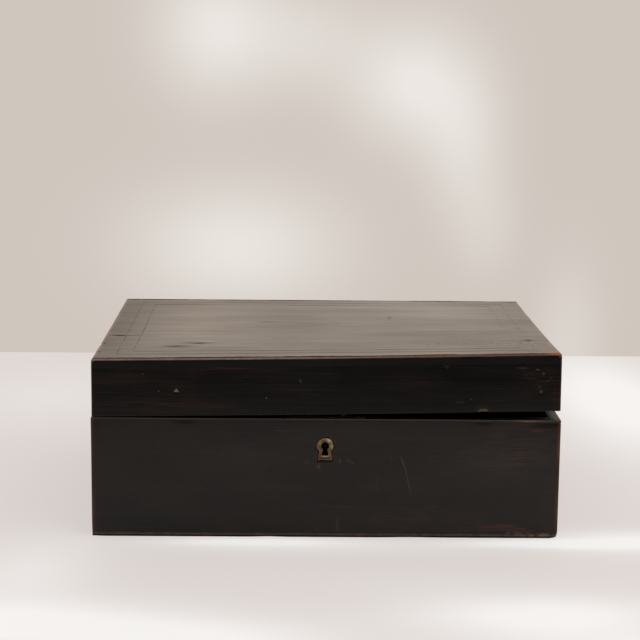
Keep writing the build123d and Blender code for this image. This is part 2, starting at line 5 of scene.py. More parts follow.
import bmesh
import bpy
import numpy as np
from mathutils import Matrix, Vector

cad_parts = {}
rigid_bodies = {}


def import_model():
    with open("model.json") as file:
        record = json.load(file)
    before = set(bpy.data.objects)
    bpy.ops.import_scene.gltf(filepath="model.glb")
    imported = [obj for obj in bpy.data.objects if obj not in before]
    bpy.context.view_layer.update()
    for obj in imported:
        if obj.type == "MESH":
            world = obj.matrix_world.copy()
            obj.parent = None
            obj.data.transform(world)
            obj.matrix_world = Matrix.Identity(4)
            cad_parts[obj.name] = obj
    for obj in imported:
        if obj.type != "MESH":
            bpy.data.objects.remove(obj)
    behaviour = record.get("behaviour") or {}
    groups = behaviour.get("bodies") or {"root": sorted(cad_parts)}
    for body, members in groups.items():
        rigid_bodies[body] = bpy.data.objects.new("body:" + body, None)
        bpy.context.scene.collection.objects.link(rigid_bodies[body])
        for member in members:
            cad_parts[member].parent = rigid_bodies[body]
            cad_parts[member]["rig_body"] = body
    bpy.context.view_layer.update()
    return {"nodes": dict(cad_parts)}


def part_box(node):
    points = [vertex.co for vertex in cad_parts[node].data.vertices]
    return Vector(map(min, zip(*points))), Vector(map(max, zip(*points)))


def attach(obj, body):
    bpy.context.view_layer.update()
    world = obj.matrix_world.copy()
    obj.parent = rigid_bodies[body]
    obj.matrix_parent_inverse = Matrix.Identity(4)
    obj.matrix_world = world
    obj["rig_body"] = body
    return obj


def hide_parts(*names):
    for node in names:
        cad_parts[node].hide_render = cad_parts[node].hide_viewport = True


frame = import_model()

# An ebonised wooden stationery box with a twisted lid, a half-mortise lock and two butt hinges.
# Metres. +X is to the right, -Y is the front and +Z is up, as in the frame.

MM = 0.001

# ---- Places taken from the frame ----
front_low, front_high = np.array(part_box("front_board"))
back_low, back_high = np.array(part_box("back_board"))
left_low, left_high = np.array(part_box("left_end_board"))
right_low, right_high = np.array(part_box("right_end_board"))
lid_top_low, lid_top_high = np.array(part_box("lid_top_board"))

base_low = np.array([left_low[0], front_low[1], front_low[2]])
base_high = np.array([right_high[0], back_high[1], front_high[2]])
box_width, box_depth = base_high[:2] - base_low[:2]
lid_twist = 4.0 * MM
lid_bow = 2.2 * MM
lid_sag = 1.5 * MM
top_thickness = 7.0 * MM


def lid_rise(x, y):
    """How far the warped lid rises: its twist times the way across from the left, plus its bow
    times the square of that way, less its sag, and all of it times the way forward from the
    rear."""
    across = (x - base_low[0]) / box_width
    forward = (base_high[1] - y) / box_depth
    return (lid_twist * across + lid_bow * across**2 - lid_sag) * forward


lid_flat_top = lid_top_high[2] - lid_rise(lid_top_high[0], base_low[1])
lid_flat_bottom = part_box("lid_front_rail")[0].z - lid_rise(lid_top_low[0], base_low[1])
lid_low = np.array([lid_top_low[0], base_low[1], lid_flat_bottom])
lid_high = np.array([lid_top_high[0], base_high[1], lid_flat_top])
rail_top_z = lid_flat_top - top_thickness
front = float(base_low[1]) / MM
escutcheon_low, escutcheon_high = np.array(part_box("escutcheon"))
escutcheon_head = 6.0 * MM
waist_drop = 2.6 * MM
keyhole_x = (escutcheon_low[0] + escutcheon_high[0]) / 2
keyhole_z = escutcheon_high[2] - escutcheon_head
escutcheon_centre_z = keyhole_z - waist_drop

# ---- How the wood has worn ----
skin = 0.02 * MM
inner_arris = 0.5 * MM
base_roundings = ((0.0, 0.4 * MM), (0.1, 0.8 * MM), (0.9, 0.8 * MM), (1.0, 0.4 * MM))
lid_roundings = ((0.0, 0.3 * MM), (0.2, 0.7 * MM), (0.8, 1.0 * MM), (1.0, 2.0 * MM))
widest_rounding = 2.0 * MM
# A side that is joined to another board is rounded as if it lay this far out.
joined_far = 1.0
# The spacing of the points over a board.
base_step = 3.0 * MM
lid_step = 2.4 * MM
divider_step = 2.5 * MM


def ripple(points, length, seed):
    """Smooth unevenness between -1 and 1: the mean of eight sine waves of about one length that
    run in different directions."""
    chance = np.random.default_rng(seed)
    waves = chance.normal(size=(3, 8))
    waves *= 2 * pi / (length * np.linalg.norm(waves, axis=0) * chance.uniform(0.7, 1.4, 8))
    return np.sin(points @ waves + chance.uniform(0, 2 * pi, 8)).mean(axis=1, keepdims=True) * 2


# ---- Surfaces worked out as grids ----
def grid_quads(rows, columns, rows_close=False, columns_close=False):
    """Quads between neighbouring rows and columns of points, joined round where a direction
    closes on itself."""
    i = np.arange(rows if rows_close else rows - 1)
    j = np.arange(columns if columns_close else columns - 1)
    i, j = (index.ravel() for index in np.meshgrid(i, j, indexing="ij"))
    next_i = (i + 1) % rows
    next_j = (j + 1) % columns
    corners = (i * columns + j, next_i * columns + j, next_i * columns + next_j, i * columns + next_j)
    return np.stack(corners, axis=1)


def cuts(low, high, step, stops=(), margin=widest_rounding):
    """Cut positions from low to high: even in the middle, closer over a margin at both ends, and
    a pair a hair apart at each stop."""
    hair = 0.01 * MM
    close = np.array([0.0, 0.08, 0.2, 0.36, 0.56, 0.78, 1.0, 1.3]) * min(margin, (high - low) / 4)
    count = max(2, ceil((high - low - 2 * close[-1]) / step) + 1)
    middle = np.linspace(low + close[-1], high - close[-1], count)
    paired = [stop + side * hair for stop in stops for side in (-1, 1)]
    return np.unique(np.concatenate([low + close, middle, high - close, paired]))


def block(x_cuts, y_cuts, z_cuts):
    """Closed surface of a block: on each of its six sides a grid over two of the three lists of
    cuts, with the points along shared edges merged."""
    lists = (x_cuts, y_cuts, z_cuts)
    points, quads, start = [], [], 0
    for axis in range(3):
        first, second = (axis + 1) % 3, (axis + 2) % 3
        u, v = np.meshgrid(lists[first], lists[second], indexing="ij")
        for end in (0, -1):
            side = np.empty((*u.shape, 3))
            side[..., axis] = lists[axis][end]
            side[..., first] = u
            side[..., second] = v
            outward = grid_quads(*u.shape) + start
            quads.append(outward if end else outward[:, ::-1])
            points.append(side.reshape(-1, 3))
            start += u.size
    merged, place = np.unique(np.round(np.concatenate(points), 7), axis=0, return_inverse=True)
    return merged, place.ravel()[np.concatenate(quads)]


def ease_arrises(points, low, high, radius):
    """Rounds the corners of a block. Each point keeps its distance from the block shrunk by the
    radius, measured square to the sides, and is set that far off in its own direction. Gives the
    new points and the way out of the block at each."""
    heart = np.clip(points, low + radius, high - radius)
    reach = points - heart
    square = np.abs(reach).max(axis=1, keepdims=True)
    straight = np.linalg.norm(reach, axis=1, keepdims=True)
    outward = reach / np.maximum(straight, 1e-12)
    return heart + outward * square, outward


def press(points, outward, marks):
    """Sinks each mark into the surface: its depth falls off from its middle as a bell curve whose
    half-widths along X, Y and Z are given. The whole mark sinks one way, the mean of the ways out
    of the surface weighted by the same curve, so that it doesn't fold over an arris."""
    for middle, widths, depth in marks:
        offset = (points - np.array(middle) * MM) / (np.array(widths) * MM)
        bell = np.exp(-(offset**2).sum(axis=1, keepdims=True))
        way = (outward * bell).sum(axis=0)
        points = points - way / np.linalg.norm(way) * depth * MM * bell
    return points


def mesh_of(name, points, faces):
    """A surface as a mesh."""
    mesh = bpy.data.meshes.new(name)
    mesh.from_pydata(np.array(points).tolist(), [], np.array(faces).tolist())
    return mesh


def add_piece(name, points, faces, finish, nodes, sharp=32):
    """Puts a surface into the scene as a piece that stands for its CAD nodes."""
    return dress(name, mesh_of(name, points, faces), finish, nodes, sharp)


def set_down(name, data):
    """Puts a mesh, a light or a camera into the scene."""
    thing = bpy.data.objects.new(name, data)
    bpy.context.scene.collection.objects.link(thing)
    return thing


def dress(name, mesh, finish, nodes, sharp=32):
    """Gives a mesh its finish and its place on the body of the CAD nodes that it stands for."""
    piece = set_down(name, mesh)
    mesh.materials.clear()
    mesh.materials.append(finish)
    mesh.shade_smooth()
    mesh.set_sharp_from_angle(angle=radians(sharp))
    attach(piece, frame["nodes"][nodes[0]]["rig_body"])
    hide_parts(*nodes)
    return piece


def merged_copy(node):
    """Copy of a CAD node's mesh with its loose triangles joined into whole faces."""
    shape = bmesh.new()
    shape.from_mesh(frame["nodes"][node].data)
    bmesh.ops.remove_doubles(shape, verts=shape.verts, dist=0.001 * MM)
    bmesh.ops.dissolve_limit(shape, angle_limit=radians(0.2), verts=shape.verts, edges=shape.edges)
    mesh = bpy.data.meshes.new(node)
    shape.to_mesh(mesh)
    shape.free()
    return mesh


def keep_inside(mesh, node):
    """The part of a worn board that lies inside its CAD node, so that it has the joiner's cuts."""
    board = set_down("board", mesh)
    tool = set_down("tool", merged_copy(node))
    cut = board.modifiers.new("cut", "BOOLEAN")
    cut.operation = "INTERSECT"
    cut.solver = "EXACT"
    cut.object = tool
    ready = bpy.context.evaluated_depsgraph_get()
    result = bpy.data.meshes.new_from_object(board.evaluated_get(ready))
    for made in (board, tool):
        bpy.data.objects.remove(made)
    return result


# ---- Writing finishes ----
class Value:
    """A number that varies over a surface. Sums, products and quotients of it add Math nodes."""

    def __init__(self, owner, socket):
        self.owner = owner
        self.socket = socket

    def math(self, operation, *others):
        return self.owner.math(operation, self, *others)

    def math_from(self, operation, other):
        return self.owner.math(operation, other, self)

    __add__ = __radd__ = partialmethod(math, "ADD")
    __sub__ = partialmethod(math, "SUBTRACT")
    __rsub__ = partialmethod(math_from, "SUBTRACT")
    __mul__ = __rmul__ = partialmethod(math, "MULTIPLY")
    __truediv__ = partialmethod(math, "DIVIDE")
    __rtruediv__ = partialmethod(math_from, "DIVIDE")
    __abs__ = partialmethod(math, "ABSOLUTE")
    low = partialmethod(math, "MINIMUM")
    high = partialmethod(math, "MAXIMUM")

    def rise(self, start, end):
        """0 on the start's side, 1 on the end's side, and a smooth step between them."""
        settings = {"interpolation_type": "SMOOTHSTEP"}
        return self.owner.node("ShaderNodeMapRange", settings, {0: self, 1: start, 2: end})


class Nodes:
    """A node tree under way, whose nodes are added by one method."""

    def __init__(self, tree):
        self.tree = tree

    def node(self, kind, settings=None, inputs=None, output=0):
        """Adds a node, sets it up, then gives its sockets their values or links."""
        made = self.tree.nodes.new(kind)
        for name, value in (settings or {}).items():
            setattr(made, name, value)
        for key, value in (inputs or {}).items():
            self.feed(made.inputs[key], value)
        return made if output is None else Value(self, made.outputs[output])

    def feed(self, socket, value):
        """Links a varying value to a socket, or sets a steady one on it."""
        if isinstance(value, Value):
            self.tree.links.new(socket, value.socket)
        else:
            socket.default_value = value

    def math(self, operation, *values):
        return self.node("ShaderNodeMath", {"operation": operation}, dict(enumerate(values)))

    def mix(self, mask, off, on):
        """One colour where the mask is 0 and another where it is 1."""
        inputs = {0: mask, 6: off, 7: on}
        return self.node("ShaderNodeMix", {"data_type": "RGBA"}, inputs, output=2)

    def split(self, vector):
        """The three parts of a vector."""
        parts = self.node("ShaderNodeSeparateXYZ", inputs={0: vector}, output=None)
        return [Value(self, parts.outputs[i]) for i in range(3)]

    def spot(self, across, up, middle, widths):
        """A soft oval mark: 1 at its middle and falling off as a bell curve."""
        a = (across - middle[0]) / widths[0]
        b = (up - middle[1]) / widths[1]
        return (0 - a * a - b * b).math("EXPONENT")

    def spots(self, across, up, marks):
        """Soft oval marks added up, each with its middle, its half-widths and its strength."""
        total = 0.0
        for middle, widths, strength in marks:
            total = self.spot(across, up, middle, widths) * strength + total
        return total

    def line(self, across, up, start, end, width):
        """A fine straight mark from start to end that fades at both ends."""
        run = np.array(end) - np.array(start)
        length = float(np.linalg.norm(run))
        way = (float(run[0]) / length, float(run[1]) / length)
        a = across - start[0]
        b = up - start[1]
        along = a * way[0] + b * way[1]
        off = abs(b * way[0] - a * way[1])
        ends = along.rise(0, length / 4) * along.rise(length, length * 0.7)
        return off.rise(width, width / 5) * ends

    def lines(self, across, up, marks):
        """Fine straight marks added up, each with its start, its end, its width and its strength."""
        total = 0.0
        for start, end, width, strength in marks:
            total = self.line(across, up, start, end, width) * strength + total
        return total


class Finish(Nodes):
    """A material under way, with the surface's own place in millimetres as x, y and z."""

    def __init__(self, name):
        self.material = bpy.data.materials.new(name)
        self.material.use_nodes = True
        super().__init__(self.material.node_tree)
        self.shader = self.tree.nodes["Principled BSDF"]
        self.place = self.node("ShaderNodeTexCoord", output="Object")
        self.x, self.y, self.z = self.split(self.scaled(1))

    def scaled(self, size, start=0.0):
        """The surface's place, counted in steps of that many millimetres: one number, or one for
        each axis."""
        factors = tuple(float(1 / MM / length) for length in np.broadcast_to(size, 3))
        offset = (start, start * 1.7, start * 0.6)
        settings = {"operation": "MULTIPLY_ADD"}
        return self.node("ShaderNodeVectorMath", settings, {0: self.place, 1: factors, 2: offset})

    def clouds(self, size, detail=3.0, start=0.0, roughness=0.55):
        """Soft noise between 0 and 1 whose features have that size in millimetres."""
        inputs = {"Vector": self.scaled(size, start), "Scale": 1.0, "Detail": detail}
        inputs["Roughness"] = roughness
        return self.node("ShaderNodeTexNoise", inputs=inputs).rise(0.25, 0.75)

    def specks(self, size, share, start=0.0, radius=0.2):
        """Scattered specks in a small share of cells of that size in millimetres. Their radius is
        counted in cells, and a fine noise makes them uneven."""
        inputs = {"Vector": self.scaled(size, start), "Scale": 1.0}
        cells = self.node("ShaderNodeTexVoronoi", inputs=inputs, output=None)
        uneven = self.clouds(np.multiply(size, radius), detail=2.0, start=start + 3)
        reach = Value(self, cells.outputs["Distance"]) * (uneven + 0.5)
        pick = self.node("ShaderNodeSeparateColor", inputs={0: Value(self, cells.outputs["Color"])})
        return reach.rise(radius, radius * 0.5) * pick.rise(1 - share, 1 - share + 0.01)

    def finished(self, bump=None, depth=0.1, bare=None, **inputs):
        """Sends colours, values and bumps to the shader and gives the material. Where bare is 1
        the polish is gone and the same colour shows without any gloss."""
        if bump is not None:
            sizes = {"Height": bump, "Distance": depth * MM, "Strength": 1.0}
            inputs["Normal"] = self.node("ShaderNodeBump", inputs=sizes)
        for key, value in inputs.items():
            self.feed(self.shader.inputs[key.replace("_", " ")], value)
        if bare is not None:
            matt = {"Base Color": inputs["Base_Color"], "Roughness": 0.9, "Specular IOR Level": 0.0}
            unpolished = self.node("ShaderNodeBsdfPrincipled", inputs=matt)
            layers = {0: bare, 1: Value(self, self.shader.outputs[0]), 2: unpolished}
            both = self.node("ShaderNodeMixShader", inputs=layers)
            self.feed(self.tree.nodes["Material Output"].inputs[0], both)
        return self.material


def tone(red, green, blue):
    """A colour given as it looks, 0 to 255 a channel, turned into linear light."""
    channels = np.array([red, green, blue]) / 255
    linear = np.where(channels <= 0.04045, channels / 12.92, ((channels + 0.055) / 1.055) ** 2.4)
    return (*(float(value) for value in linear), 1.0)


red_brown = tone(54, 28, 22)
worn_brown = tone(84, 57, 42)
# Pale colour of the painted highlight on the lid's worn top arris.
highlight_pale = tone(126, 106, 95)
orange_brown = tone(138, 94, 66)
dust_grey = tone(92, 87, 80)


def lid_arrises(wood, stain, over, under, side, fore, ragged, uneven):
    """Wear on the lid: a brown band along the long top arrises where the polish is gone, a painted
    pale highlight on the worn arris itself, a faint warm edge at both ends and an orange corner."""
    right = wood.x.rise(-60.0, 140.0)
    corner = wood.spot(wood.x, wood.y, (float(lid_high[0]) / MM, front), (10, 11)) * over.rise(1.5, 0.8)
    band = ((over * 3.2).high(fore) / uneven).rise(5.0, 3.8)
    edge = (over.high(side) / uneven).rise(3.2, 1.0)
    upright = (side.high(fore) / uneven).rise(1.6, 0.6)
    # Painted highlight: a pale line on the rounded top arris, where it would catch the light.
    highlit_facet = over.high(fore).rise(1.5, 1.1)
    stain = wood.mix(upright * 0.55, stain, tone(72, 44, 28))
    stain = wood.mix(edge * 0.75, stain, tone(124, 86, 60))
    stain = wood.mix(band * 0.95, stain, wood.mix(right, tone(50, 37, 30), tone(80, 56, 41)))
    stain = wood.mix(highlit_facet * (ragged * 0.4 + 0.6), stain, wood.mix(right, highlight_pale, tone(92, 72, 60)))
    stain = wood.mix(corner * 0.9, stain, orange_brown)
    return stain, band.high(upright * 0.5).high(highlit_facet).high(edge * 0.35).high(corner * 0.5)


def base_arrises(wood, stain, over, under, side, fore, ragged, uneven):
    """Wear and painted light on the base: brown upright arrises, a reddish line above the foot that
    is worn wood and a painted reflection of the table, painted shade along the foot and a thin
    painted grey highlight along the rim."""
    outer = side.low(fore)
    upright = (side.high(fore) / uneven).rise(2.6, 0.8)
    # The reddish line above the foot: worn wood, and also a painted reflection of the table on the rounded
    # arris.
    foot = (under.high(outer) / (uneven * 0.3 + 0.7)).rise(3.3, 2.3)
    # Painted contact shade: the lowest millimetre or so of the base darkened where it meets the table.
    foot_shade = under.rise(1.7, 1.1)
    # Painted highlight: a thin pale grey line along the rounded rim.
    rim = over.high(outer).rise(0.9, 0.4)
    stain = wood.mix(upright * 0.5, stain, worn_brown)
    stain = wood.mix(foot * (ragged * 0.5 + 0.25), stain, tone(86, 66, 58))
    stain = wood.mix(foot_shade * 0.95, stain, tone(13, 11, 10))
    stain = wood.mix(rim * 0.5, stain, tone(84, 80, 76))
    return stain, (upright.high(foot_shade).high(rim) * 0.8).high(over.rise(0.3, 0.1) * 0.6)


def along(grain, length, fine):
    """The size of a pattern in wood: long along its grain, which runs along axis 0 or 1, and fine
    across it."""
    return [length if axis == grain else fine for axis in range(3)]


# How far in from the outside the polish gives way to plain wood, in millimetres.
inside_front = (9.6, 9.9)
inside_base_end = (7.6, 7.9)
inside_lid_end = (6.9, 7.2)
inside_lid_top = (4.0, 5.0)


def ebonised(name, grain, low, high, polish, faded, arrises, level, marks=None, coat=0.0):
    """Black-stained polished wood. Grain is 0 where it runs along X and 1 along Y. The stain has
    worn through along the arrises, where some painted highlights and painted shade lie as well,
    and inside the box the wood is left plain. The level is the strength of the polish's shine,
    and the coat is a second layer of polish over it."""
    wood = Finish(name)
    low, high = low / MM, high / MM
    side = (wood.x - float(low[0])).low(float(high[0]) - wood.x)
    fore = (wood.y - float(low[1])).low(float(high[1]) - wood.y)
    height = wood.z
    if arrises is lid_arrises:
        across = (wood.x - float(base_low[0]) / MM) / (box_width / MM)
        forward = (float(high[1]) - wood.y) / (box_depth / MM)
        warp = (across * (lid_bow / MM) + lid_twist / MM) * across - lid_sag / MM
        height = wood.z - warp * forward
    under = height - float(low[2])
    over = float(high[2]) - height

    fibre = wood.clouds(along(grain, 46.0, 0.9), detail=4.0, start=3.1)
    streak = wood.clouds(along(grain, 90.0, 4.2), detail=3.0, start=7.7)
    patch = wood.clouds(along(grain, 70.0, 24.0), detail=2.0, start=11.3)
    ragged = wood.clouds(4.0, detail=4.0, start=5.0, roughness=0.7)
    flow = wood.clouds(34.0, detail=2.0, start=8.0)

    stain = wood.mix(patch * 0.8, polish, faded)
    stain = wood.mix(streak.rise(0.6, 0.95) * patch.rise(0.3, 0.9) * 0.2, stain, red_brown)
    stain = wood.mix(fibre.rise(0.55, 1.0) * 0.08, stain, red_brown)
    relief = fibre * 0.45 + streak * 0.4
    gloss = patch * 0.06 + fibre * 0.05 + streak * 0.04 + 0.18
    bare = 0.0
    if marks:
        stain, relief, gloss, bare = marks(wood, stain, relief, gloss, ragged)
    uneven = ragged * 0.35 + flow * 0.5 + 0.6
    stain, worn = arrises(wood, stain, over, under, side, fore, ragged, uneven)

    if arrises is lid_arrises:
        inside = fore.rise(*inside_front) * side.rise(*inside_lid_end) * over.rise(*inside_lid_top)
    else:
        inside = fore.rise(*inside_front) * side.rise(*inside_base_end)
    plain = wood.mix(streak * 0.5 + fibre * 0.5, tone(74, 46, 30), tone(116, 76, 50))
    colour = wood.mix(inside, stain, plain)
    bare = worn.high(inside * 0.7).high(bare)
    return wood.finished(relief - worn * 0.3, depth=0.03, bare=bare, Base_Color=colour, Roughness=gloss,
                         Specular_IOR_Level=level, Coat_Weight=coat, Coat_Roughness=0.2)


def base_front_marks(wood, stain, relief, gloss, ragged):
    """Rubbed patches, bruises, scratches and a painted soft sheen on the front of the base."""
    x, z = wood.x, wood.z
    face = wood.y.rise(front + 1.5, front + 0.8)
    streaky = wood.clouds((26.0, 2.0, 1.1), detail=3.0, start=21.0)
    soft = wood.clouds((16.0, 10.0, 5.0), detail=3.0, start=51.0)
    rubs = wood.spots(x, z, [((128, 62), (24, 16), 0.45), ((126, 7.5), (24, 3.0), 1.1),
                             ((136, 58), (3.2, 14), 0.5), ((150, 78), (14, 5), 0.5),
                             ((30, 22), (46, 1.4), 0.5), ((45, 12), (50, 8), 0.25),
                             ((158, 30), (6, 22), 0.3)])
    rubs = rubs * face * (streaky.rise(0.35, 0.9) * 0.7 + soft.rise(0.45, 0.9) * 0.4)
    stain = wood.mix(rubs.low(0.8), stain, tone(72, 38, 32))
    # Painted sheen: soft lighter grey patches where the polish would reflect the light.
    painted_sheen = wood.spots(x, z, [((-60, 62), (50, 12), 0.5), ((118, 55), (38, 16), 0.7),
                             ((30, 76), (90, 7), 0.4), ((90, 15), (60, 12), 0.25)])
    stain = wood.mix(painted_sheen * face * 0.5 * (soft * 0.5 + 0.5), stain, tone(46, 43, 40))
    red = wood.spots(x, z, [((-5.6, 51.6), (1.5, 2.0), 1.0), ((-13.4, 54.9), (1.8, 1.0), 0.4)])
    stain = wood.mix((red * ragged.rise(0.2, 0.6) * face).low(1), stain, tone(76, 43, 36))
    edge = wood.spots(x, z, [((-165.5, 20), (1.6, 13), 0.4), ((165.5, 66), (1.4, 9), 0.9),
                             ((165.5, 22), (1.4, 12), 0.6), ((143, 86.0), (9, 0.7), 1.0)])
    stain = wood.mix((edge * face * (ragged * 0.6 + 0.5)).low(0.9), stain, tone(104, 74, 52))
    foot = wood.spots(x, z, [((152, 2.0), (12, 1.5), 1.0), ((134, 4.0), (4, 1.0), 0.5)])
    stain = wood.mix((foot * face * ragged.rise(0.2, 0.6)).low(0.9), stain, tone(112, 92, 72))
    scored = wood.lines(x, z, [((52.7, 60.5), (58, 46), 0.7, 0.8), ((56.5, 50), (61, 30), 0.7, 0.6),
                               ((9.2, 17.4), (8, 3.4), 0.6, 0.8), ((35.6, 48.1), (37.3, 30.4), 0.5, 0.3),
                               ((13.5, 57.6), (20.5, 53.8), 0.7, 0.6),
                               ((9.2, 54.4), (10.4, 58.2), 0.8, 0.8), ((44, 62), (48, 55), 0.5, 0.25),
                               ((-38, 77.5), (-18, 78.2), 0.5, 0.35)])
    scored = (scored * face).low(1)
    bruises = wood.specks(17.0, share=0.12, start=9.0) * face
    stain = wood.mix(scored * 0.4, stain, dust_grey)
    cloud = wood.clouds((60.0, 30.0, 22.0), detail=2.0, start=31.0)
    relief = relief - scored * 0.5 - bruises * 0.5
    return stain, relief, gloss + cloud * 0.06 + rubs * 0.08, scored * 0.5


def lid_front_marks(wood, stain, relief, gloss, ragged):
    """Chips, bruises and rubbed streaks on the front of the lid."""
    x, z = wood.x, wood.z
    face = wood.y.rise(front + 1.9, front + 1.2)
    streaky = wood.clouds((30.0, 2.0, 1.0), detail=3.0, start=17.0)
    rubs = wood.spots(x, z, [((-66, 122.3), (22, 1.2), 0.6), ((-4, 127.9), (18, 0.9), 0.7),
                             ((150, 117), (13, 10), 0.3), ((-110, 97), (34, 5), 0.45),
                             ((60, 112), (22, 5), 0.2), ((162, 104), (3.0, 10), 0.3)])
    rubs = rubs * face * streaky.rise(0.35, 0.9)
    stain = wood.mix(rubs.low(0.7), stain, tone(60, 30, 24))
    narrow = abs(x + 105.6) * 1.35
    chip = (108.1 - z - narrow).rise(0.0, 0.7) * (z - 105.0).rise(0.0, 0.5) * face
    nicks = wood.spots(x, z, [((-118.0, 105.6), (0.45, 0.45), 0.5), ((-128.8, 117.9), (0.6, 0.5), 0.25),
                              ((-42.3, 101.3), (0.45, 0.6), 0.5), ((-18.4, 113.7), (0.5, 0.9), 0.3),
                              ((151.1, 107.2), (0.9, 0.7), 0.6), ((149.8, 110.8), (0.5, 0.6), 0.3),
                              ((148.2, 123.0), (1.0, 0.5), 0.3), ((137.7, 124.0), (3.0, 0.7), 0.16),
                              ((152.4, 120.2), (0.6, 0.8), 0.3), ((101.8, 101.4), (0.5, 0.5), 0.3)])
    pale = (nicks * face * (ragged * 0.6 + 0.7)).low(0.9).high(chip * 0.8)
    narrow = abs(x - 110.8) * 0.9
    ragged_ends = narrow + (ragged - 0.5) * 2.4 + (z - 92.0) * 0.3
    tan_chip = (94.7 - z).rise(0.0, 0.5) * (3.5 - ragged_ends).rise(0.0, 0.8) * face
    scored = wood.lines(x, z, [((91, 99.2), (98, 99.4), 0.5, 0.6), ((153, 113.2), (160, 118.7), 0.6, 0.4),
                               ((139, 117), (149, 115.6), 0.8, 0.2), ((81, 125.2), (87.4, 124.9), 0.5, 0.6),
                               ((84.4, 125), (84.9, 122.8), 0.6, 0.5),
                               ((137, 118.5), (146, 121), 0.7, 0.2)])
    scored = (scored * face).low(1)
    stain = wood.mix(pale * 0.75, stain, tone(122, 114, 104))
    stain = wood.mix(tan_chip * (ragged * 0.3 + 0.7), stain, tone(85, 72, 56))
    stain = wood.mix(scored * 0.45, stain, tone(84, 68, 58))
    relief = relief - pale * 0.6 - scored * 0.5 - tan_chip * 0.5
    return stain, relief, gloss + rubs * 0.1, pale.high(tan_chip)


def lid_top_marks(wood, stain, relief, gloss, ragged):
    """The knots, the shake at the left end, the bruises and the scuffs on the top of the lid."""
    x, y = wood.x, wood.y
    dark = wood.spots(x, y, [((-93.9, -68.4), (12.0, 3.4), 0.5), ((-92, -69.5), (3.2, 2.6), 0.5),
                             ((-108.5, -81.3), (9.5, 4.0), 0.65), ((-43.3, 21.7), (9.5, 1.3), 0.6),
                             ((-153.7, -37.8), (3.2, 1.5), 1.0), ((149.0, -65.5), (3.8, 3.6), 0.6),
                             ((52.6, 43), (1.6, 6.0), 0.3), ((148, -8), (3.2, 3.0), 0.25),
                             ((-162.2, -68), (1.2, 2.4), 0.6), ((-162.5, -101), (1.0, 2.0), 0.6)])
    dark = (dark * (ragged * 0.7 + 0.6)).low(1)
    shake = wood.line(x, y, (-163, -35.7), (-134, -39.0), 1.0)
    fine = wood.lines(x, y, [((-34, 20.5), (14, 8), 0.6, 1.0), ((-99, -14.4), (-60, -19.1), 0.6, 0.8),
                             ((-137, -39.5), (-124, -42.1), 0.6, 0.9),
                             ((-20, -16.5), (10, -18.6), 0.6, 0.6)])
    stain = wood.mix(dark * 0.9, stain, tone(10, 9, 8))
    stain = wood.mix((shake + fine * 0.5).low(1), stain, tone(6, 5, 5))
    pale = wood.spot(x, y, (-88.3, -61.5), (6.5, 2.4)) * 0.9
    broad = wood.clouds((150.0, 26.0, 40.0), detail=2.0, start=41.0)
    lines = wood.clouds((120.0, 2.3, 9.0), detail=4.0, start=43.0, roughness=0.65)
    worn_off = wood.spots(x, y, [((105, -78), (38, 7), 0.8), ((150, -84), (18, 20), 0.5)])
    worn_off = worn_off * ragged.rise(0.4, 0.9)
    stain = wood.mix(lines.rise(0.4, 0.9) * 0.35, stain, tone(66, 50, 40))
    stain = wood.mix(worn_off * 0.4, stain, red_brown)
    relief = relief * 0.5 + lines * 0.5 - dark * 1.2 - shake * 2.0 - fine * 0.8 + pale
    gloss = gloss + dark * 0.22 + shake * 0.3 + broad * 0.08 + lines * 0.08 + worn_off * 0.12 - pale * 0.06
    shine = wood.spots(x, y, [((-98, 40), (42, 120), 0.16), ((85, 80), (50, 60), 0.16),
                              ((-30, 90), (60, 24), 0.06)])
    dimmed = wood.spots(x, y, [((-160, 0), (22, 200), 0.2), ((-20, 20), (26, 90), 0.08)])
    dull = dimmed + dark * 0.6 + shake * 0.8 + fine * 0.5 + worn_off * 0.3 - pale * 0.12
    bare = (0.17 - shine + dull).high(0).low(1)
    ends = (x - float(lid_low[0]) / MM).low(float(lid_high[0]) / MM - x)
    flank = ends.low(y - front).low(float(lid_high[1]) / MM - y).rise(1.5, 0.9)
    stain = wood.mix(flank * 0.95, stain, tone(12, 11, 9))
    return stain, relief, gloss, bare.high(flank * 0.5)


def plain_wood(name, grain):
    """Unpolished brown wood of the dividers and the underside."""
    wood = Finish(name)
    fibre = wood.clouds(along(grain, 40.0, 0.8), detail=4.0, start=2.2)
    bands = wood.clouds(along(grain, 90.0, 5.0), detail=3.0, start=6.1)
    soil = wood.clouds(35.0, detail=3.0, start=9.4)
    colour = wood.mix(fibre * 0.5 + bands * 0.5, tone(72, 44, 28), tone(122, 82, 54))
    colour = wood.mix(soil * 0.45, colour, tone(52, 34, 24))
    return wood.finished(fibre, depth=0.08, Base_Color=colour, Roughness=fibre * 0.15 + 0.5)


def lining_paper():
    """Old dark blue-green lining paper, faded, rubbed and foxed."""
    paper = Finish("lining_paper")
    fibres = paper.clouds(1.6, detail=5.0, start=1.3, roughness=0.7)
    fade = paper.clouds(60.0, detail=3.0, start=4.4)
    stains = paper.specks(9.0, share=0.12, start=3.3, radius=0.3)
    colour = paper.mix(fade, tone(38, 52, 56), tone(66, 78, 76))
    colour = paper.mix(fibres * 0.3, colour, tone(92, 98, 90))
    colour = paper.mix(stains * 0.4, colour, tone(84, 66, 46))
    creases = paper.clouds(22.0, detail=2.0, start=8.2)
    return paper.finished(fibres * 0.3 + creases, depth=0.12, Base_Color=colour,
                          Roughness=fibres * 0.1 + 0.8)


def string_finish():
    """Black-dyed stringing, duller than the polish round it."""
    string = Finish("black_string")
    fibre = string.clouds((14.0, 14.0, 2.0), detail=3.0, start=5.1)
    colour = string.mix(fibre * 0.6, tone(9, 8, 7), tone(26, 20, 16))
    bare = (fibre * 0.2 + 0.12) * (string.x.rise(140.0, -60.0) * 0.4 + 0.6)
    return string.finished(fibre, depth=0.05, bare=bare, Base_Color=colour, Roughness=fibre * 0.1 + 0.24)


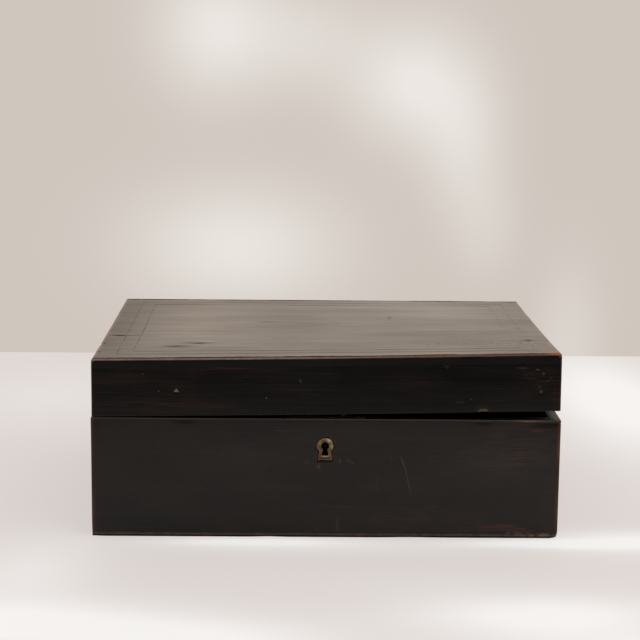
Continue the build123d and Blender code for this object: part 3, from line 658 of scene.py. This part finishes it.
def escutcheon_marks(brass, colour):
    """Browner in the dish and towards the foot, with painted highlights at the upper right and on
    the lip under the keyhole, and painted black shade inside the keyhole."""
    x, z = brass.x - float(keyhole_x) / MM, brass.z - float(keyhole_z) / MM
    depth = brass.y - front
    # Painted highlights: bright spots on the rim at the upper right and on the lip under the keyhole.
    rubbed = brass.spots(x, z, [((3.3, 4.2), (2.0, 1.5), 0.9), ((0.2, -7.5), (1.9, 0.4), 0.8),
                                ((4.8, -0.4), (1.0, 1.5), 0.5), ((-3.3, 1.6), (0.7, 1.3), 0.4)])
    colour = brass.mix(z.rise(-1.5, -8.5) * 0.6, colour, tone(86, 70, 56))
    colour = brass.mix(depth.rise(-0.2, 0.06) * 0.5, colour, tone(98, 68, 42))
    colour = brass.mix(rubbed.low(0.8), colour, tone(206, 186, 158))
    # Painted shade: the walls deep inside the keyhole are black.
    return brass.mix(depth.rise(0.22, 0.6), colour, tone(10, 8, 6))


def lock_shade_marks(metal, colour):
    """Painted black shade on the front of the lock behind the keyhole."""
    x, z = metal.x - float(keyhole_x) / MM, metal.z - float(escutcheon_centre_z) / MM
    behind = metal.y.rise(front + 9.5, front + 9.0)
    return metal.mix(metal.spot(x, z, (0, 0), (8, 12)).rise(0.1, 0.5) * behind, colour, tone(6, 5, 5))


def dull_brass(name, bright, dull, depth=0.05, marks=None):
    """Brass that has lost its lacquer: brighter where hands rub it and brown in its hollows."""
    brass = Finish(name)
    tarnish = brass.clouds(3.4, detail=4.0, start=6.6, roughness=0.6)
    cast = brass.clouds(0.7, detail=3.0, start=2.8)
    pits = brass.specks(1.5, share=0.2, start=1.9, radius=0.25)
    colour = brass.mix(tarnish, bright, dull)
    colour = brass.mix(pits * 0.6, colour, tone(46, 34, 24))
    if marks:
        colour = marks(brass, colour)
    relief = cast * 0.4 + tarnish * 0.4 - pits
    rough = tarnish * 0.2 + 0.3
    return brass.finished(relief, depth=depth, Base_Color=colour, Metallic=0.85, Roughness=rough)


def dark_steel(name, clean, rusted, marks=None):
    """Browned steel with light rust."""
    steel = Finish(name)
    rust = steel.clouds(2.6, detail=4.0, start=8.8, roughness=0.65)
    filed = steel.clouds((9.0, 0.5, 0.5), detail=2.0, start=3.9)
    colour = steel.mix(rust.rise(0.4, 0.9), clean, rusted)
    if marks:
        colour = marks(steel, colour)
    rough = rust * 0.25 + filed * 0.1 + 0.35
    return steel.finished(rust * 0.6 + filed * 0.3, depth=0.03, Base_Color=colour, Metallic=0.8,
                          Roughness=rough)


base_sizes = (base_low, base_high, tone(15, 13, 12), tone(26, 22, 20), base_arrises, 0.33)
base_front_wood = ebonised("base_front_wood", 0, *base_sizes, marks=base_front_marks)
base_long_wood = ebonised("base_long_wood", 0, *base_sizes)
base_end_wood = ebonised("base_end_wood", 1, *base_sizes)
lid_sizes = (lid_low, lid_high, tone(9, 8, 7), tone(16, 14, 12), lid_arrises, 0.25)
lid_front_wood = ebonised("lid_front_wood", 0, *lid_sizes, marks=lid_front_marks)
lid_long_wood = ebonised("lid_long_wood", 0, *lid_sizes)
lid_end_wood = ebonised("lid_end_wood", 1, *lid_sizes)
lid_top_sizes = (lid_low, lid_high, tone(34, 27, 21), tone(44, 36, 29), lid_arrises, 0.5)
lid_top_wood = ebonised("lid_top_wood", 0, *lid_top_sizes, marks=lid_top_marks, coat=0.27)
divider_wood = plain_wood("divider_wood", 1)
short_divider_wood = plain_wood("short_divider_wood", 0)
underside_wood = plain_wood("underside_wood", 0)
paper_finish = lining_paper()
black_string = string_finish()
escutcheon_tones = (tone(166, 142, 110), tone(108, 82, 56))
escutcheon_brass = dull_brass("escutcheon_brass", *escutcheon_tones, depth=0.1, marks=escutcheon_marks)
hinge_tones = (tone(150, 124, 84), tone(96, 76, 50))
hinge_brass = dull_brass("hinge_brass", *hinge_tones)
lock_brass = dull_brass("lock_brass", *hinge_tones, marks=lock_shade_marks)
shaded_brass = dull_brass("shaded_brass", tone(70, 56, 40), tone(42, 34, 26))
steel_tones = (tone(78, 74, 70), tone(72, 50, 38))
steel_finish = dark_steel("dark_steel", *steel_tones)
lock_steel = dark_steel("lock_steel", *steel_tones, lock_shade_marks)
# Dark steel for the drill pin, darkened as painted shade because the pin sits deep in the keyhole.
shaded_pin_steel = dark_steel("shaded_pin_steel", tone(24, 26, 27), tone(24, 19, 15))


# ---- Boards of the base and the lid ----
def sinking(points):
    """How far a face has sunk since it was planed: a thin skin, long swells and short ones."""
    long_swells = 0.05 * MM * (1 + ripple(points, 55 * MM, seed=9))
    short_swells = 0.02 * MM * (1 + ripple(points, 12 * MM, seed=12))
    return skin + (long_swells + short_swells).clip(0)


def worn_board(low, high, box_low, box_high, joined, roundings, step, marks=(), stops=((), (), ())):
    """A board as a block whose free edges are rounded by wear. The edges of sides that are joined
    to other boards stay square. The rounding is read from a table of heights, varies along each
    edge, and is slight inside the box. The faces sink and swell a little inwards."""
    lists = [cuts(low[i], high[i], step, stops[i]) for i in range(3)]
    points, faces = block(*lists)
    height = (points[:, 2:] - box_low[2]) / (box_high[2] - box_low[2])
    arris = np.interp(height, *zip(*roundings))
    free_low = np.where([side in joined for side in ("left", "front", "bottom")], -joined_far, low)
    free_high = np.where([side in joined for side in ("right", "back", "top")], joined_far, high)
    near = widest_rounding / 2
    outer = np.any((points < box_low + near) | (points > box_high - near), axis=1, keepdims=True)
    radius = np.where(outer, arris, inner_arris) * (1 + 0.1 * ripple(points, 31 * MM, seed=4))
    points, outward = ease_arrises(points, free_low, free_high, radius)
    return press(points - outward * sinking(points), outward, marks), faces


def base_board(node, joined, finish, marks=(), recessed=False):
    """A worn board of the base between the corners of its CAD node."""
    low, high = np.array(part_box(node))
    points, faces = worn_board(low, high, base_low, base_high, joined, base_roundings, base_step, marks)
    finish_board(node, points, faces, finish, recessed)


def lid_board(node, low, high, joined, finish, marks=(), recessed=False, groove=None, stops=((), (), ())):
    """A worn board of the lid, drawn flat, grooved if it is to be, and then twisted with the rest of
    the lid."""
    low, high = np.array(low), np.array(high)
    sizes = (lid_low, lid_high, joined, lid_roundings, lid_step)
    points, faces = worn_board(low, high, *sizes, marks, stops)
    if groove:
        points = groove(points)
    points[:, 2] += lid_rise(points[:, 0], points[:, 1])
    finish_board(node, points, faces, finish, recessed)


def finish_board(node, points, faces, finish, recessed):
    """Adds a board, cut out as its CAD node is where metalwork is let into it."""
    mesh = mesh_of(f"{node}_worn", points, faces)
    if recessed:
        mesh = keep_inside(mesh, node)
    dress(f"{node}_worn", mesh, finish, [node])


base_front_dents = [((166, front, 0), (2.8, 4, 2.8), 1.4), ((-164.5, front, 1), (4, 5, 5), 0.4),
                    ((157, front, 84.5), (10, 3, 1.2), 0.5), ((110, front, 85), (5, 3, 1.0), 0.3),
                    ((-100, front, 85), (6, 3, 1.0), 0.3), ((-40, front, 0.5), (9, 3, 1.2), 0.4),
                    ((60, front, 0.5), (14, 3, 1.0), 0.35)]
lid_front_dents = [((110.5, front, 88.0), (3.6, 3, 1.3), 0.7), ((110.5, front, 90.3), (2.2, 3, 1.6), 0.35),
                   ((-106, front, 106.4), (1.4, 3, 1.6), 0.35), ((60, front, 87.8), (7, 3, 0.8), 0.3),
                   ((-60, front, 87.8), (5, 3, 0.8), 0.3), ((150.6, front, 103.2), (1.6, 3, 1.5), 0.3)]
lid_top_dents = [((-93.9, -68.4, 129), (8, 2.2, 4), 0.35), ((-108.5, -81.3, 129), (7, 2.0, 4), 0.3),
                 ((-150, -37.8, 129), (9, 0.9, 4), 0.3), ((155, front, 129.5), (9, 5, 3), 0.6),
                 ((20, front, 129.3), (4, 2, 1.5), 0.3), ((-165, -68, 129.5), (2, 5, 2), 0.4),
                 ((100, front, 129.3), (5, 2, 1.5), 0.35), ((-43.3, 21.7, 129), (6, 1.4, 4), 0.2)]

base_board("front_board", (), base_front_wood, base_front_dents, recessed=True)
base_board("back_board", (), base_long_wood, recessed=True)
base_board("left_end_board", ("front", "back"), base_end_wood)
base_board("right_end_board", ("front", "back"), base_end_wood)

rail_ends = {"left": (lid_low[0], left_high[0]), "right": (right_low[0], lid_high[0])}
front_rail_high = (lid_high[0], front_high[1], rail_top_z)
back_rail_low = (lid_low[0], back_low[1], lid_low[2])
back_rail_high = (lid_high[0], lid_high[1], rail_top_z)
lid_board("lid_front_rail", lid_low, front_rail_high, ("top",), lid_front_wood, lid_front_dents,
          recessed=True)
lid_board("lid_back_rail", back_rail_low, back_rail_high, ("top",), lid_long_wood, recessed=True)
for end, (rail_low_x, rail_high_x) in rail_ends.items():
    rail_low = (rail_low_x, left_low[1], lid_low[2])
    rail_high = (rail_high_x, left_high[1], rail_top_z)
    lid_board(f"lid_{end}_rail", rail_low, rail_high, ("front", "back", "top"), lid_end_wood)

# ---- Stringing let into the lid's top ----
string_width = 0.9 * MM
string_sunk = 0.05 * MM
groove_depth = 0.13 * MM
hollow_left = 0.6 * MM
hollow_right = 1.3 * MM
string_insets = {
    name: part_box(name)[0].x - base_low[0] for name in ("outer_stringing", "inner_stringing")
}


def hollowed(points):
    """How far the top has gone hollow between its front and its rear: half a sine wave along the
    depth, deeper towards the right end, where the lid has pulled up."""
    forward = (lid_high[1] - points[:, 1]) / box_depth
    across = (points[:, 0] - lid_low[0]) / box_width
    return np.sin(pi * forward.clip(0, 1)) * np.interp(across, (0.0, 1.0), (hollow_left, hollow_right))


def string_bared(points):
    """The share of a string's depth that is open: all of it at the left, and about half at the
    right, where polish has filled the groove."""
    return np.interp(points[:, :1], (-60 * MM, 140 * MM), (1.0, 0.55))


def grooved_top(points):
    """Sinks the lid's top along both strings, and then lets the whole top go hollow. A point lies
    in a groove where its distance inside the edge of the lid is between the string's inset and its
    inset plus its width. The hollow fades to nothing at the underside of the board."""
    inset = np.minimum(points[:, :2] - base_low[:2], base_high[:2] - points[:, :2]).min(axis=1)
    on_top = points[:, 2] > lid_high[2] - 1.0 * MM
    for string_inset in string_insets.values():
        in_groove = (inset > string_inset) & (inset < string_inset + string_width) & on_top
        points[in_groove, 2] -= groove_depth * string_bared(points[in_groove])[:, 0]
    points[:, 2] -= hollowed(points) * np.interp(points[:, 2], (rail_top_z, lid_high[2]), (0.0, 1.0))
    return points


def string_ring(name, inset):
    """A string as a low arched profile carried round a mitred rectangle that follows the worn
    top. Its height wavers, because the string has shrunk in its groove."""
    half = np.array([box_width, box_depth]) / 2 - inset - string_width / 2
    middle = (base_low[:2] + base_high[:2]) / 2
    corners = np.array([(-1, -1), (1, -1), (1, 1), (-1, 1)])
    steps = np.linspace(0, 1, 90, endpoint=False)[:, None]
    sides = [corners[i] + (corners[(i + 1) % 4] - corners[i]) * steps for i in range(4)]
    path = np.concatenate(sides)
    across = np.array([-0.5, -0.5, -0.25, 0.0, 0.25, 0.5, 0.5]) * string_width * 0.98
    up = np.array([-0.5, -0.06, -0.01, 0.0, -0.01, -0.06, -0.5]) * MM
    centre = path * half
    outward = np.where(np.abs(path) > 1 - 1e-9, np.sign(path), 0.0)
    plan = middle + centre[:, None] + outward[:, None] * across[None, :, None]
    heights = np.full((*plan.shape[:2], 1), lid_high[2])
    points = np.concatenate([plan, heights], axis=2).reshape(-1, 3)
    shrunk = (string_sunk + 0.03 * MM * (1 + ripple(points, 40 * MM, seed=21))) * string_bared(points)
    upward = np.array([0.0, 0.0, 1.0])
    points = press(points - upward * (sinking(points) + shrunk), upward, lid_top_dents)
    points[:, 2] += np.tile(up, len(path)) + lid_rise(points[:, 0], points[:, 1]) - hollowed(points)
    faces = grid_quads(len(path), len(across), rows_close=True, columns_close=True)
    add_piece(f"{name}_worn", points, faces, black_string, [name])


string_edges = [inset + width for inset in string_insets.values() for width in (0, string_width)]
string_stops = [
    [low + edge for edge in string_edges] + [high - edge for edge in string_edges]
    for low, high in zip(base_low[:2], base_high[:2])
]
lid_top_flat_low = (lid_low[0], lid_low[1], rail_top_z)
lid_board("lid_top_board", lid_top_flat_low, lid_high, ("bottom",), lid_top_wood, lid_top_dents,
          groove=grooved_top, stops=(*string_stops, ()))
for string_name, string_inset in string_insets.items():
    string_ring(string_name, string_inset)


# ---- Dividers ----
def divider(node, finish, scoop=None):
    """A divider as a board with rounded edges. A finger scoop, given as its middle, its radius and
    its depth, takes the top down to a circle, and the points below move down by their share of
    the height."""
    low, high = np.array(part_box(node))
    points, faces = block(*(cuts(low[i], high[i], divider_step, (), inner_arris) for i in range(3)))
    lowering = 0.0
    if scoop is not None:
        centre_x, radius, depth = scoop
        circle = np.sqrt(np.maximum(radius**2 - (points[:, 0] - centre_x) ** 2, 0))
        share = (points[:, 2] - low[2]) / (high[2] - low[2])
        lowering = (depth - radius + circle).clip(0) * share
    rounding = inner_arris * (1 + 0.3 * ripple(points, 20 * MM, seed=5))
    points, outward = ease_arrises(points, low, high, rounding)
    points -= outward * (skin + 0.04 * MM * (1 + ripple(points, 30 * MM, seed=6)))
    points[:, 2] -= lowering
    add_piece(f"{node}_worn", points, faces, finish, [node])


scoop_depth = 9.0 * MM
scoop_radius = 60.0 * MM
short_low, short_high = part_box("short_divider")
divider("long_divider", divider_wood)
short_scoop = ((short_low.x + short_high.x) / 2, scoop_radius, scoop_depth)
divider("short_divider", short_divider_wood, short_scoop)


# ---- Escutcheon ----
def keyhole_radii(angles, head, shoulder, waist, narrow, foot, end):
    """Distance from the waist's middle to the outline at each angle. The outline is a round head
    that reaches down to the shoulder, then a waist at its narrowest place and a skirt that flares
    to the foot at its end. Half-widths and heights are in millimetres, the heights down from the
    head's middle, and the corners are softened."""
    turn = np.linspace(-0.5 * pi, 1.5 * pi, 400)
    bow = np.stack([head * np.cos(turn), head * np.sin(turn)], axis=1)
    bow = bow[bow[:, 1] > -shoulder]
    skirt = np.array([(waist, -narrow), (foot, -end), (-foot, -end), (-waist, -narrow)])
    share = np.linspace(0, 1, 120)[:, None]
    straights = [skirt[i] + (skirt[i + 1] - skirt[i]) * share for i in range(3)]
    outline = np.concatenate([bow, *straights]) * MM
    outline[:, 1] += keyhole_z - escutcheon_centre_z
    bearing = np.arctan2(outline[:, 1], outline[:, 0])
    order = np.argsort(bearing)
    radii = np.interp(angles, bearing[order], np.hypot(*outline.T)[order], period=2 * pi)
    soft = np.array([1, 2, 3, 2, 1]) / 9
    return np.convolve(np.concatenate([radii[-2:], radii, radii[:2]]), soft, mode="valid")


def brass_escutcheon():
    """A ring between the escutcheon's outline and the keyhole's. Its section, from the outer wall
    over a rounded rim, a dished face and the keyhole's lip, is carried round all the angles."""
    angles = np.linspace(-pi, pi, 168, endpoint=False)
    outer = keyhole_radii(angles, head=5.95, shoulder=2.0, waist=3.97, narrow=3.1, foot=5.35, end=10.15)
    inner = keyhole_radii(angles, head=2.8, shoulder=2.35, waist=1.5, narrow=2.35, foot=2.35, end=6.7)
    across = np.array([0, 0, 0.03, 0.09, 0.18, 0.28, 0.4, 0.55, 0.7, 0.82, 0.91, 0.97, 1, 1])
    back = np.array([1.9, 0.1, -0.12, -0.24, -0.29, -0.24, -0.05, 0.08, 0.0, -0.14, -0.18, -0.08, 0.3, 1.9])
    radii = outer[:, None] + (inner - outer)[:, None] * across
    x = keyhole_x + radii * np.cos(angles)[:, None]
    z = escutcheon_centre_z + radii * np.sin(angles)[:, None]
    y = base_low[1] + np.broadcast_to(back * MM, radii.shape)
    points = np.stack([x, y, z], axis=-1).reshape(-1, 3)
    face = np.abs(points[:, 1] - base_low[1]) < 0.3 * MM
    points[face, 1] += 0.05 * MM * (1 + ripple(points, 3.2 * MM, seed=2)[face, 0])
    points[:, 1] = np.maximum(points[:, 1], base_low[1] - 0.29 * MM)
    faces = grid_quads(len(angles), len(across), rows_close=True, columns_close=True)
    add_piece("escutcheon_brass", points, faces, escutcheon_brass, ["escutcheon"], sharp=50)


brass_escutcheon()


# ---- Turned and headed metalwork ----
def turned(radii, depths, middle, outward, sides=40):
    """A profile of radii and depths spun about a line through the middle: closed at both ends."""
    turn = np.linspace(0, 2 * pi, sides, endpoint=False)
    first, second = np.roll(outward, 1), np.roll(outward, 2)
    ring = np.cos(turn)[:, None] * first + np.sin(turn)[:, None] * second
    spun = np.array(radii)[:, None, None] * ring[None]
    points = np.array(middle) + spun - np.array(depths)[:, None, None] * outward
    return points.reshape(-1, 3), grid_quads(len(radii), sides, columns_close=True)


def closed(name, points, faces, finish, slot, nodes, sharp=50):
    """Adds a spun or gridded piece after its poles are merged and its faces turned outwards."""
    mesh = mesh_of(name, points, faces)
    shape = bmesh.new()
    shape.from_mesh(mesh)
    bmesh.ops.remove_doubles(shape, verts=shape.verts, dist=0.001 * MM)
    bmesh.ops.recalc_face_normals(shape, faces=shape.faces)
    shape.to_mesh(mesh)
    shape.free()
    return dress(name, mesh, finish, nodes, sharp)


pin_low, pin_high = np.array(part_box("drill_pin"))
pin_radius = (pin_high[0] - pin_low[0]) / 2
pin_profile = np.array([0, 0.34, 0.42, 0.5, 0.82, 0.95, 1.0, 1.0, 0.0]) * pin_radius
pin_length = pin_high[1] - pin_low[1]
pin_depths = np.append(np.array([1.1, 1.1, 0.2, 0.02, 0.02, 0.12, 0.35]) * MM, [pin_length, pin_length])
pin_middle = (keyhole_x, pin_low[1], keyhole_z)
closed("drill_pin_turned", *turned(pin_profile, pin_depths, pin_middle, np.array([0.0, -1.0, 0.0])),
       shaded_pin_steel, "dark_steel", ["drill_pin"])


screw_head = 1.98 * MM
screw_shank = 1.0 * MM
# In the frame a head has twelve flats, and its corners reach out past its radius of 2 mm.
screw_reach = 2.0 * MM / cos(pi / 12)
hinge_screw_pitch = 12.5 * MM
hinge_screw_length = 8.9 * MM
lock_screw_length = 6.9 * MM
link_screw_length = 7.9 * MM


def screw(middle, outward, slot_angle, head, shank, length):
    """Slotted countersunk screw as a grid over the disc of its head: rows run along the slot and
    each row is as long as the disc is wide there. Its upper sheet is the head with the slot sunk
    in, and its lower sheet is the countersink running into the pointed shank."""
    rows = np.array([-1, -0.97, -0.88, -0.7, -0.45, -0.23, -0.2, 0.2, 0.23, 0.45, 0.7, 0.88, 0.97, 1.0])
    columns = np.sin(np.linspace(-0.5, 0.5, 13) * pi)
    across = np.sqrt(1 - rows**2)[:, None] * columns
    up = np.broadcast_to(rows[:, None], across.shape)
    reach = np.hypot(across, up)
    crown = np.where(np.abs(up) < 0.21, -0.6 * MM, -0.12 * MM * reach**2) - 0.02 * MM
    taper = -np.minimum((1 - reach) * head, head - shank) - 0.12 * MM
    point = np.where(reach * head < shank, -length * (1 - 0.8 * reach * head / shank), taper)
    crown = np.where(reach > 0.999, -0.12 * MM, crown)
    point = np.where(reach > 0.999, -0.12 * MM, point)
    first, second = np.roll(outward, 1), np.roll(outward, 2)
    turned_across = across * cos(slot_angle) - up * sin(slot_angle)
    turned_up = across * sin(slot_angle) + up * cos(slot_angle)
    flat = head * (turned_across[..., None] * first + turned_up[..., None] * second)
    sheets = [middle + flat + height[..., None] * outward for height in (crown, point)]
    points = np.concatenate([sheet.reshape(-1, 3) for sheet in sheets])
    quads = grid_quads(len(rows), len(columns))
    return points, np.concatenate([quads, quads[:, ::-1] + rows.size * columns.size])


def screws(node, places, length, finish, slot):
    """All the screws of one node, each with its slot left at an angle of its own."""
    points, faces, start = [], [], 0
    for i, (middle, outward) in enumerate(places):
        outward = np.array(outward, float) / np.linalg.norm(outward)
        made, quads = screw(np.array(middle), outward, 0.4 + 1.9 * i, screw_head, screw_shank, length)
        points.append(made)
        faces.append(quads + start)
        start += len(made)
    closed(f"{node}_slotted", np.concatenate(points), np.concatenate(faces), finish, slot, [node], sharp=35)


def hinge_screw_places(node, side):
    """Heads of the six screws of both hinges in one board, from the corners of their node."""
    low, high = np.array(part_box(node))
    z = high[2] if side < 0 else low[2]
    y = (low[1] + high[1]) / 2
    places = [high[0] - screw_reach - i * hinge_screw_pitch for i in range(3)]
    return [((sign * place, y, z), (0, 0, -side)) for sign in (-1, 1) for place in places]


for screw_node, board_side in (("base_hinge_screws", -1), ("lid_hinge_screws", 1)):
    places = hinge_screw_places(screw_node, board_side)
    screws(screw_node, places, hinge_screw_length, hinge_brass, "dark_steel")

lock_screws_low, lock_screws_high = np.array(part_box("lock_screws"))
lock_screw_places = [
    ((x, lock_screws_high[1], z), (0, 1, 0))
    for x in (lock_screws_low[0] + screw_reach, lock_screws_high[0] - screw_reach)
    for z in (lock_screws_low[2] + screw_reach, lock_screws_high[2] - screw_reach)
]
screws("lock_screws", lock_screw_places, lock_screw_length, steel_finish, "dark_steel")

link_low, link_high = np.array(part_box("link_plate_screws"))
link_y = (link_low[1] + link_high[1]) / 2
link_slope = (lid_twist + lid_bow) * (base_high[1] - link_y) / box_depth / box_width
link_screw_places = [
    ((x, link_y, lid_low[2] + lid_rise(0, link_y) + link_slope * x), (link_slope, 0, -1))
    for x in (link_low[0] + screw_reach, link_high[0] - screw_reach)
]
screws("link_plate_screws", link_screw_places, link_screw_length, steel_finish, "dark_steel")


# ---- Metalwork with its edges eased ----
def eased_metal(node, width, finish, angle=40):
    """A merged copy of a CAD node whose sharp edges are rounded by a narrow bevel."""
    piece = dress(f"{node}_eased", merged_copy(node), finish, [node], angle)
    bevel = piece.modifiers.new("eased_edges", "BEVEL")
    bevel.width = width
    bevel.segments = 2
    bevel.limit_method = "ANGLE"
    bevel.angle_limit = radians(angle)
    bevel.harden_normals = True


for hinge in ("left_hinge", "right_hinge"):
    eased_metal(f"{hinge}_base_leaf", 0.12 * MM, hinge_brass)
    eased_metal(f"{hinge}_lid_leaf", 0.12 * MM, hinge_brass)
    eased_metal(f"{hinge}_pin", 0.2 * MM, hinge_brass)
eased_metal("lock_plate", 0.12 * MM, lock_brass)
eased_metal("link_plate", 0.12 * MM, shaded_brass)
eased_metal("lock_case", 0.1 * MM, lock_steel)
eased_metal("lock_bolt", 0.12 * MM, steel_finish)
eased_metal("bolt_spring", 0.05 * MM, steel_finish)


# ---- Nodes that keep their CAD shape ----
def refinish(node, finish):
    """Gives a CAD node a finish and leaves its mesh as it is."""
    kept = frame["nodes"][node]
    if not kept.material_slots:
        kept.data.materials.append(finish)
    for material_slot in kept.material_slots:
        material_slot.material = finish


refinish("bottom_board", underside_wood)
refinish("floor_lining", paper_finish)
refinish("lid_lining", paper_finish)


# ---- Table, room and light ----
def table_finish():
    """White table with painted pools of window light in soft patches, some in front of the box. To
    the camera most of its light is its own, so that the box's shadow on it stays light."""
    white = Finish("table_white")
    # Painted pools of window light, two of them just in front of the box where its shadow falls.
    bright = white.spots(white.x, white.y, [
        ((-185, -312), (110, 44), 1.1), ((-200, -215), (45, 75), 0.5), ((-70, -338), (75, 34), 0.8),
        ((135, -292), (82, 40), 1.1), ((210, -345), (110, 26), 0.7), ((60, -232), (60, 30), 0.1),
        ((225, -135), (70, 26), 1.0), ((290, 330), (70, 220), 1.2), ((-260, 330), (90, 120), 0.3),
        ((-10, -150), (120, 20), 0.4), ((-50, -140), (62, 10), 0.9), ((150, -141), (60, 10), 0.9)])
    shown = white.mix(bright.low(1), tone(226, 219, 216), tone(255, 254, 253))
    white.finished(Base_Color=tone(226, 221, 218), Roughness=0.6)
    glow = white.node("ShaderNodeEmission", inputs={"Color": shown})
    seen = white.node("ShaderNodeLightPath", output="Is Camera Ray")
    layers = {0: seen * 0.72, 1: Value(white, white.shader.outputs[0]), 2: glow}
    both = white.node("ShaderNodeMixShader", inputs=layers)
    white.feed(white.tree.nodes["Material Output"].inputs[0], both)
    return white.material


table_front = -0.52
table_back = 0.554
table_half = 2.5
table_corners = [(-table_half, table_front, 0), (table_half, table_front, 0),
                 (table_half, table_back, 0), (-table_half, table_back, 0)]
table = set_down("table", mesh_of("table", table_corners, [(0, 1, 2, 3)]))
table.data.materials.append(table_finish())


def room():
    """The room as light: a pale wall with painted patches of window light to the camera, and to
    polished surfaces a pale wall behind the box and a darker room in front of it. Directions are
    counted across and up, as tangents from straight ahead."""
    world = bpy.data.worlds.new("room")
    world.use_nodes = True
    bpy.context.scene.world = world
    air = Nodes(world.node_tree)
    x, y, z = air.split(air.node("ShaderNodeTexCoord", output="Generated"))
    across = x / abs(y).high(0.05)
    up = z / abs(y).high(0.05)
    # Painted patches of window light on the wall behind the box.
    patches = air.spots(across, up, [
        ((-0.048, -0.006), (0.034, 0.038), 0.9), ((0.004, -0.012), (0.036, 0.03), 0.5),
        ((0.066, -0.036), (0.036, 0.034), 0.95), ((0.096, -0.072), (0.024, 0.04), 0.6),
        ((-0.035, -0.132), (0.06, 0.036), 0.9), ((0.11, -0.12), (0.02, 0.03), 0.3),
        ((0.16, -0.19), (0.02, 0.05), 0.4)])
    wall = air.mix(patches.low(1), tone(207, 198, 190), tone(236, 231, 226))
    ahead = y.rise(-0.35, 0.45)
    sheen = air.spots(across, up, [((0.055, 0.2), (0.07, 0.3), 1.0), ((-0.01, 0.22), (0.03, 0.4), 0.3)])
    behind = air.mix(sheen.low(1), tone(242, 224, 207), tone(254, 238, 222))
    mirrored = air.mix(ahead, tone(50, 46, 43), behind)
    lit = air.mix(air.node("ShaderNodeLightPath", output="Is Glossy Ray"), tone(232, 228, 224), mirrored)
    shown = air.mix(air.node("ShaderNodeLightPath", output="Is Camera Ray"), lit, wall)
    air.feed(world.node_tree.nodes["Background"].inputs["Color"], shown)


room()

window = bpy.data.lights.new("window", "AREA")
window.size = 1.6
window.energy = 9.0
window.color = (1.0, 0.97, 0.93)
window_place = set_down("window", window)
window_place.location = (1.0, -0.7, 1.4)
window_place.rotation_euler = (radians(42), 0, radians(50))

# ---- Camera ----
camera_place = (-0.021852, -1.317643, 0.365003)
camera_pitch = radians(9.8996)
camera_yaw = radians(0.8049)
camera_roll = radians(0.5602)
camera = set_down("camera", bpy.data.cameras.new("camera"))
camera.data.sensor_width = 36.0
camera.data.lens = 97.385
camera.data.clip_start = 0.05
turning = (Matrix.Rotation(-camera_yaw, 4, "Z") @ Matrix.Rotation(pi / 2 - camera_pitch, 4, "X")
           @ Matrix.Rotation(camera_roll, 4, "Z"))
camera.matrix_world = Matrix.Translation(camera_place) @ turning
bpy.context.scene.camera = camera
bpy.context.scene.view_settings.view_transform = "Standard"
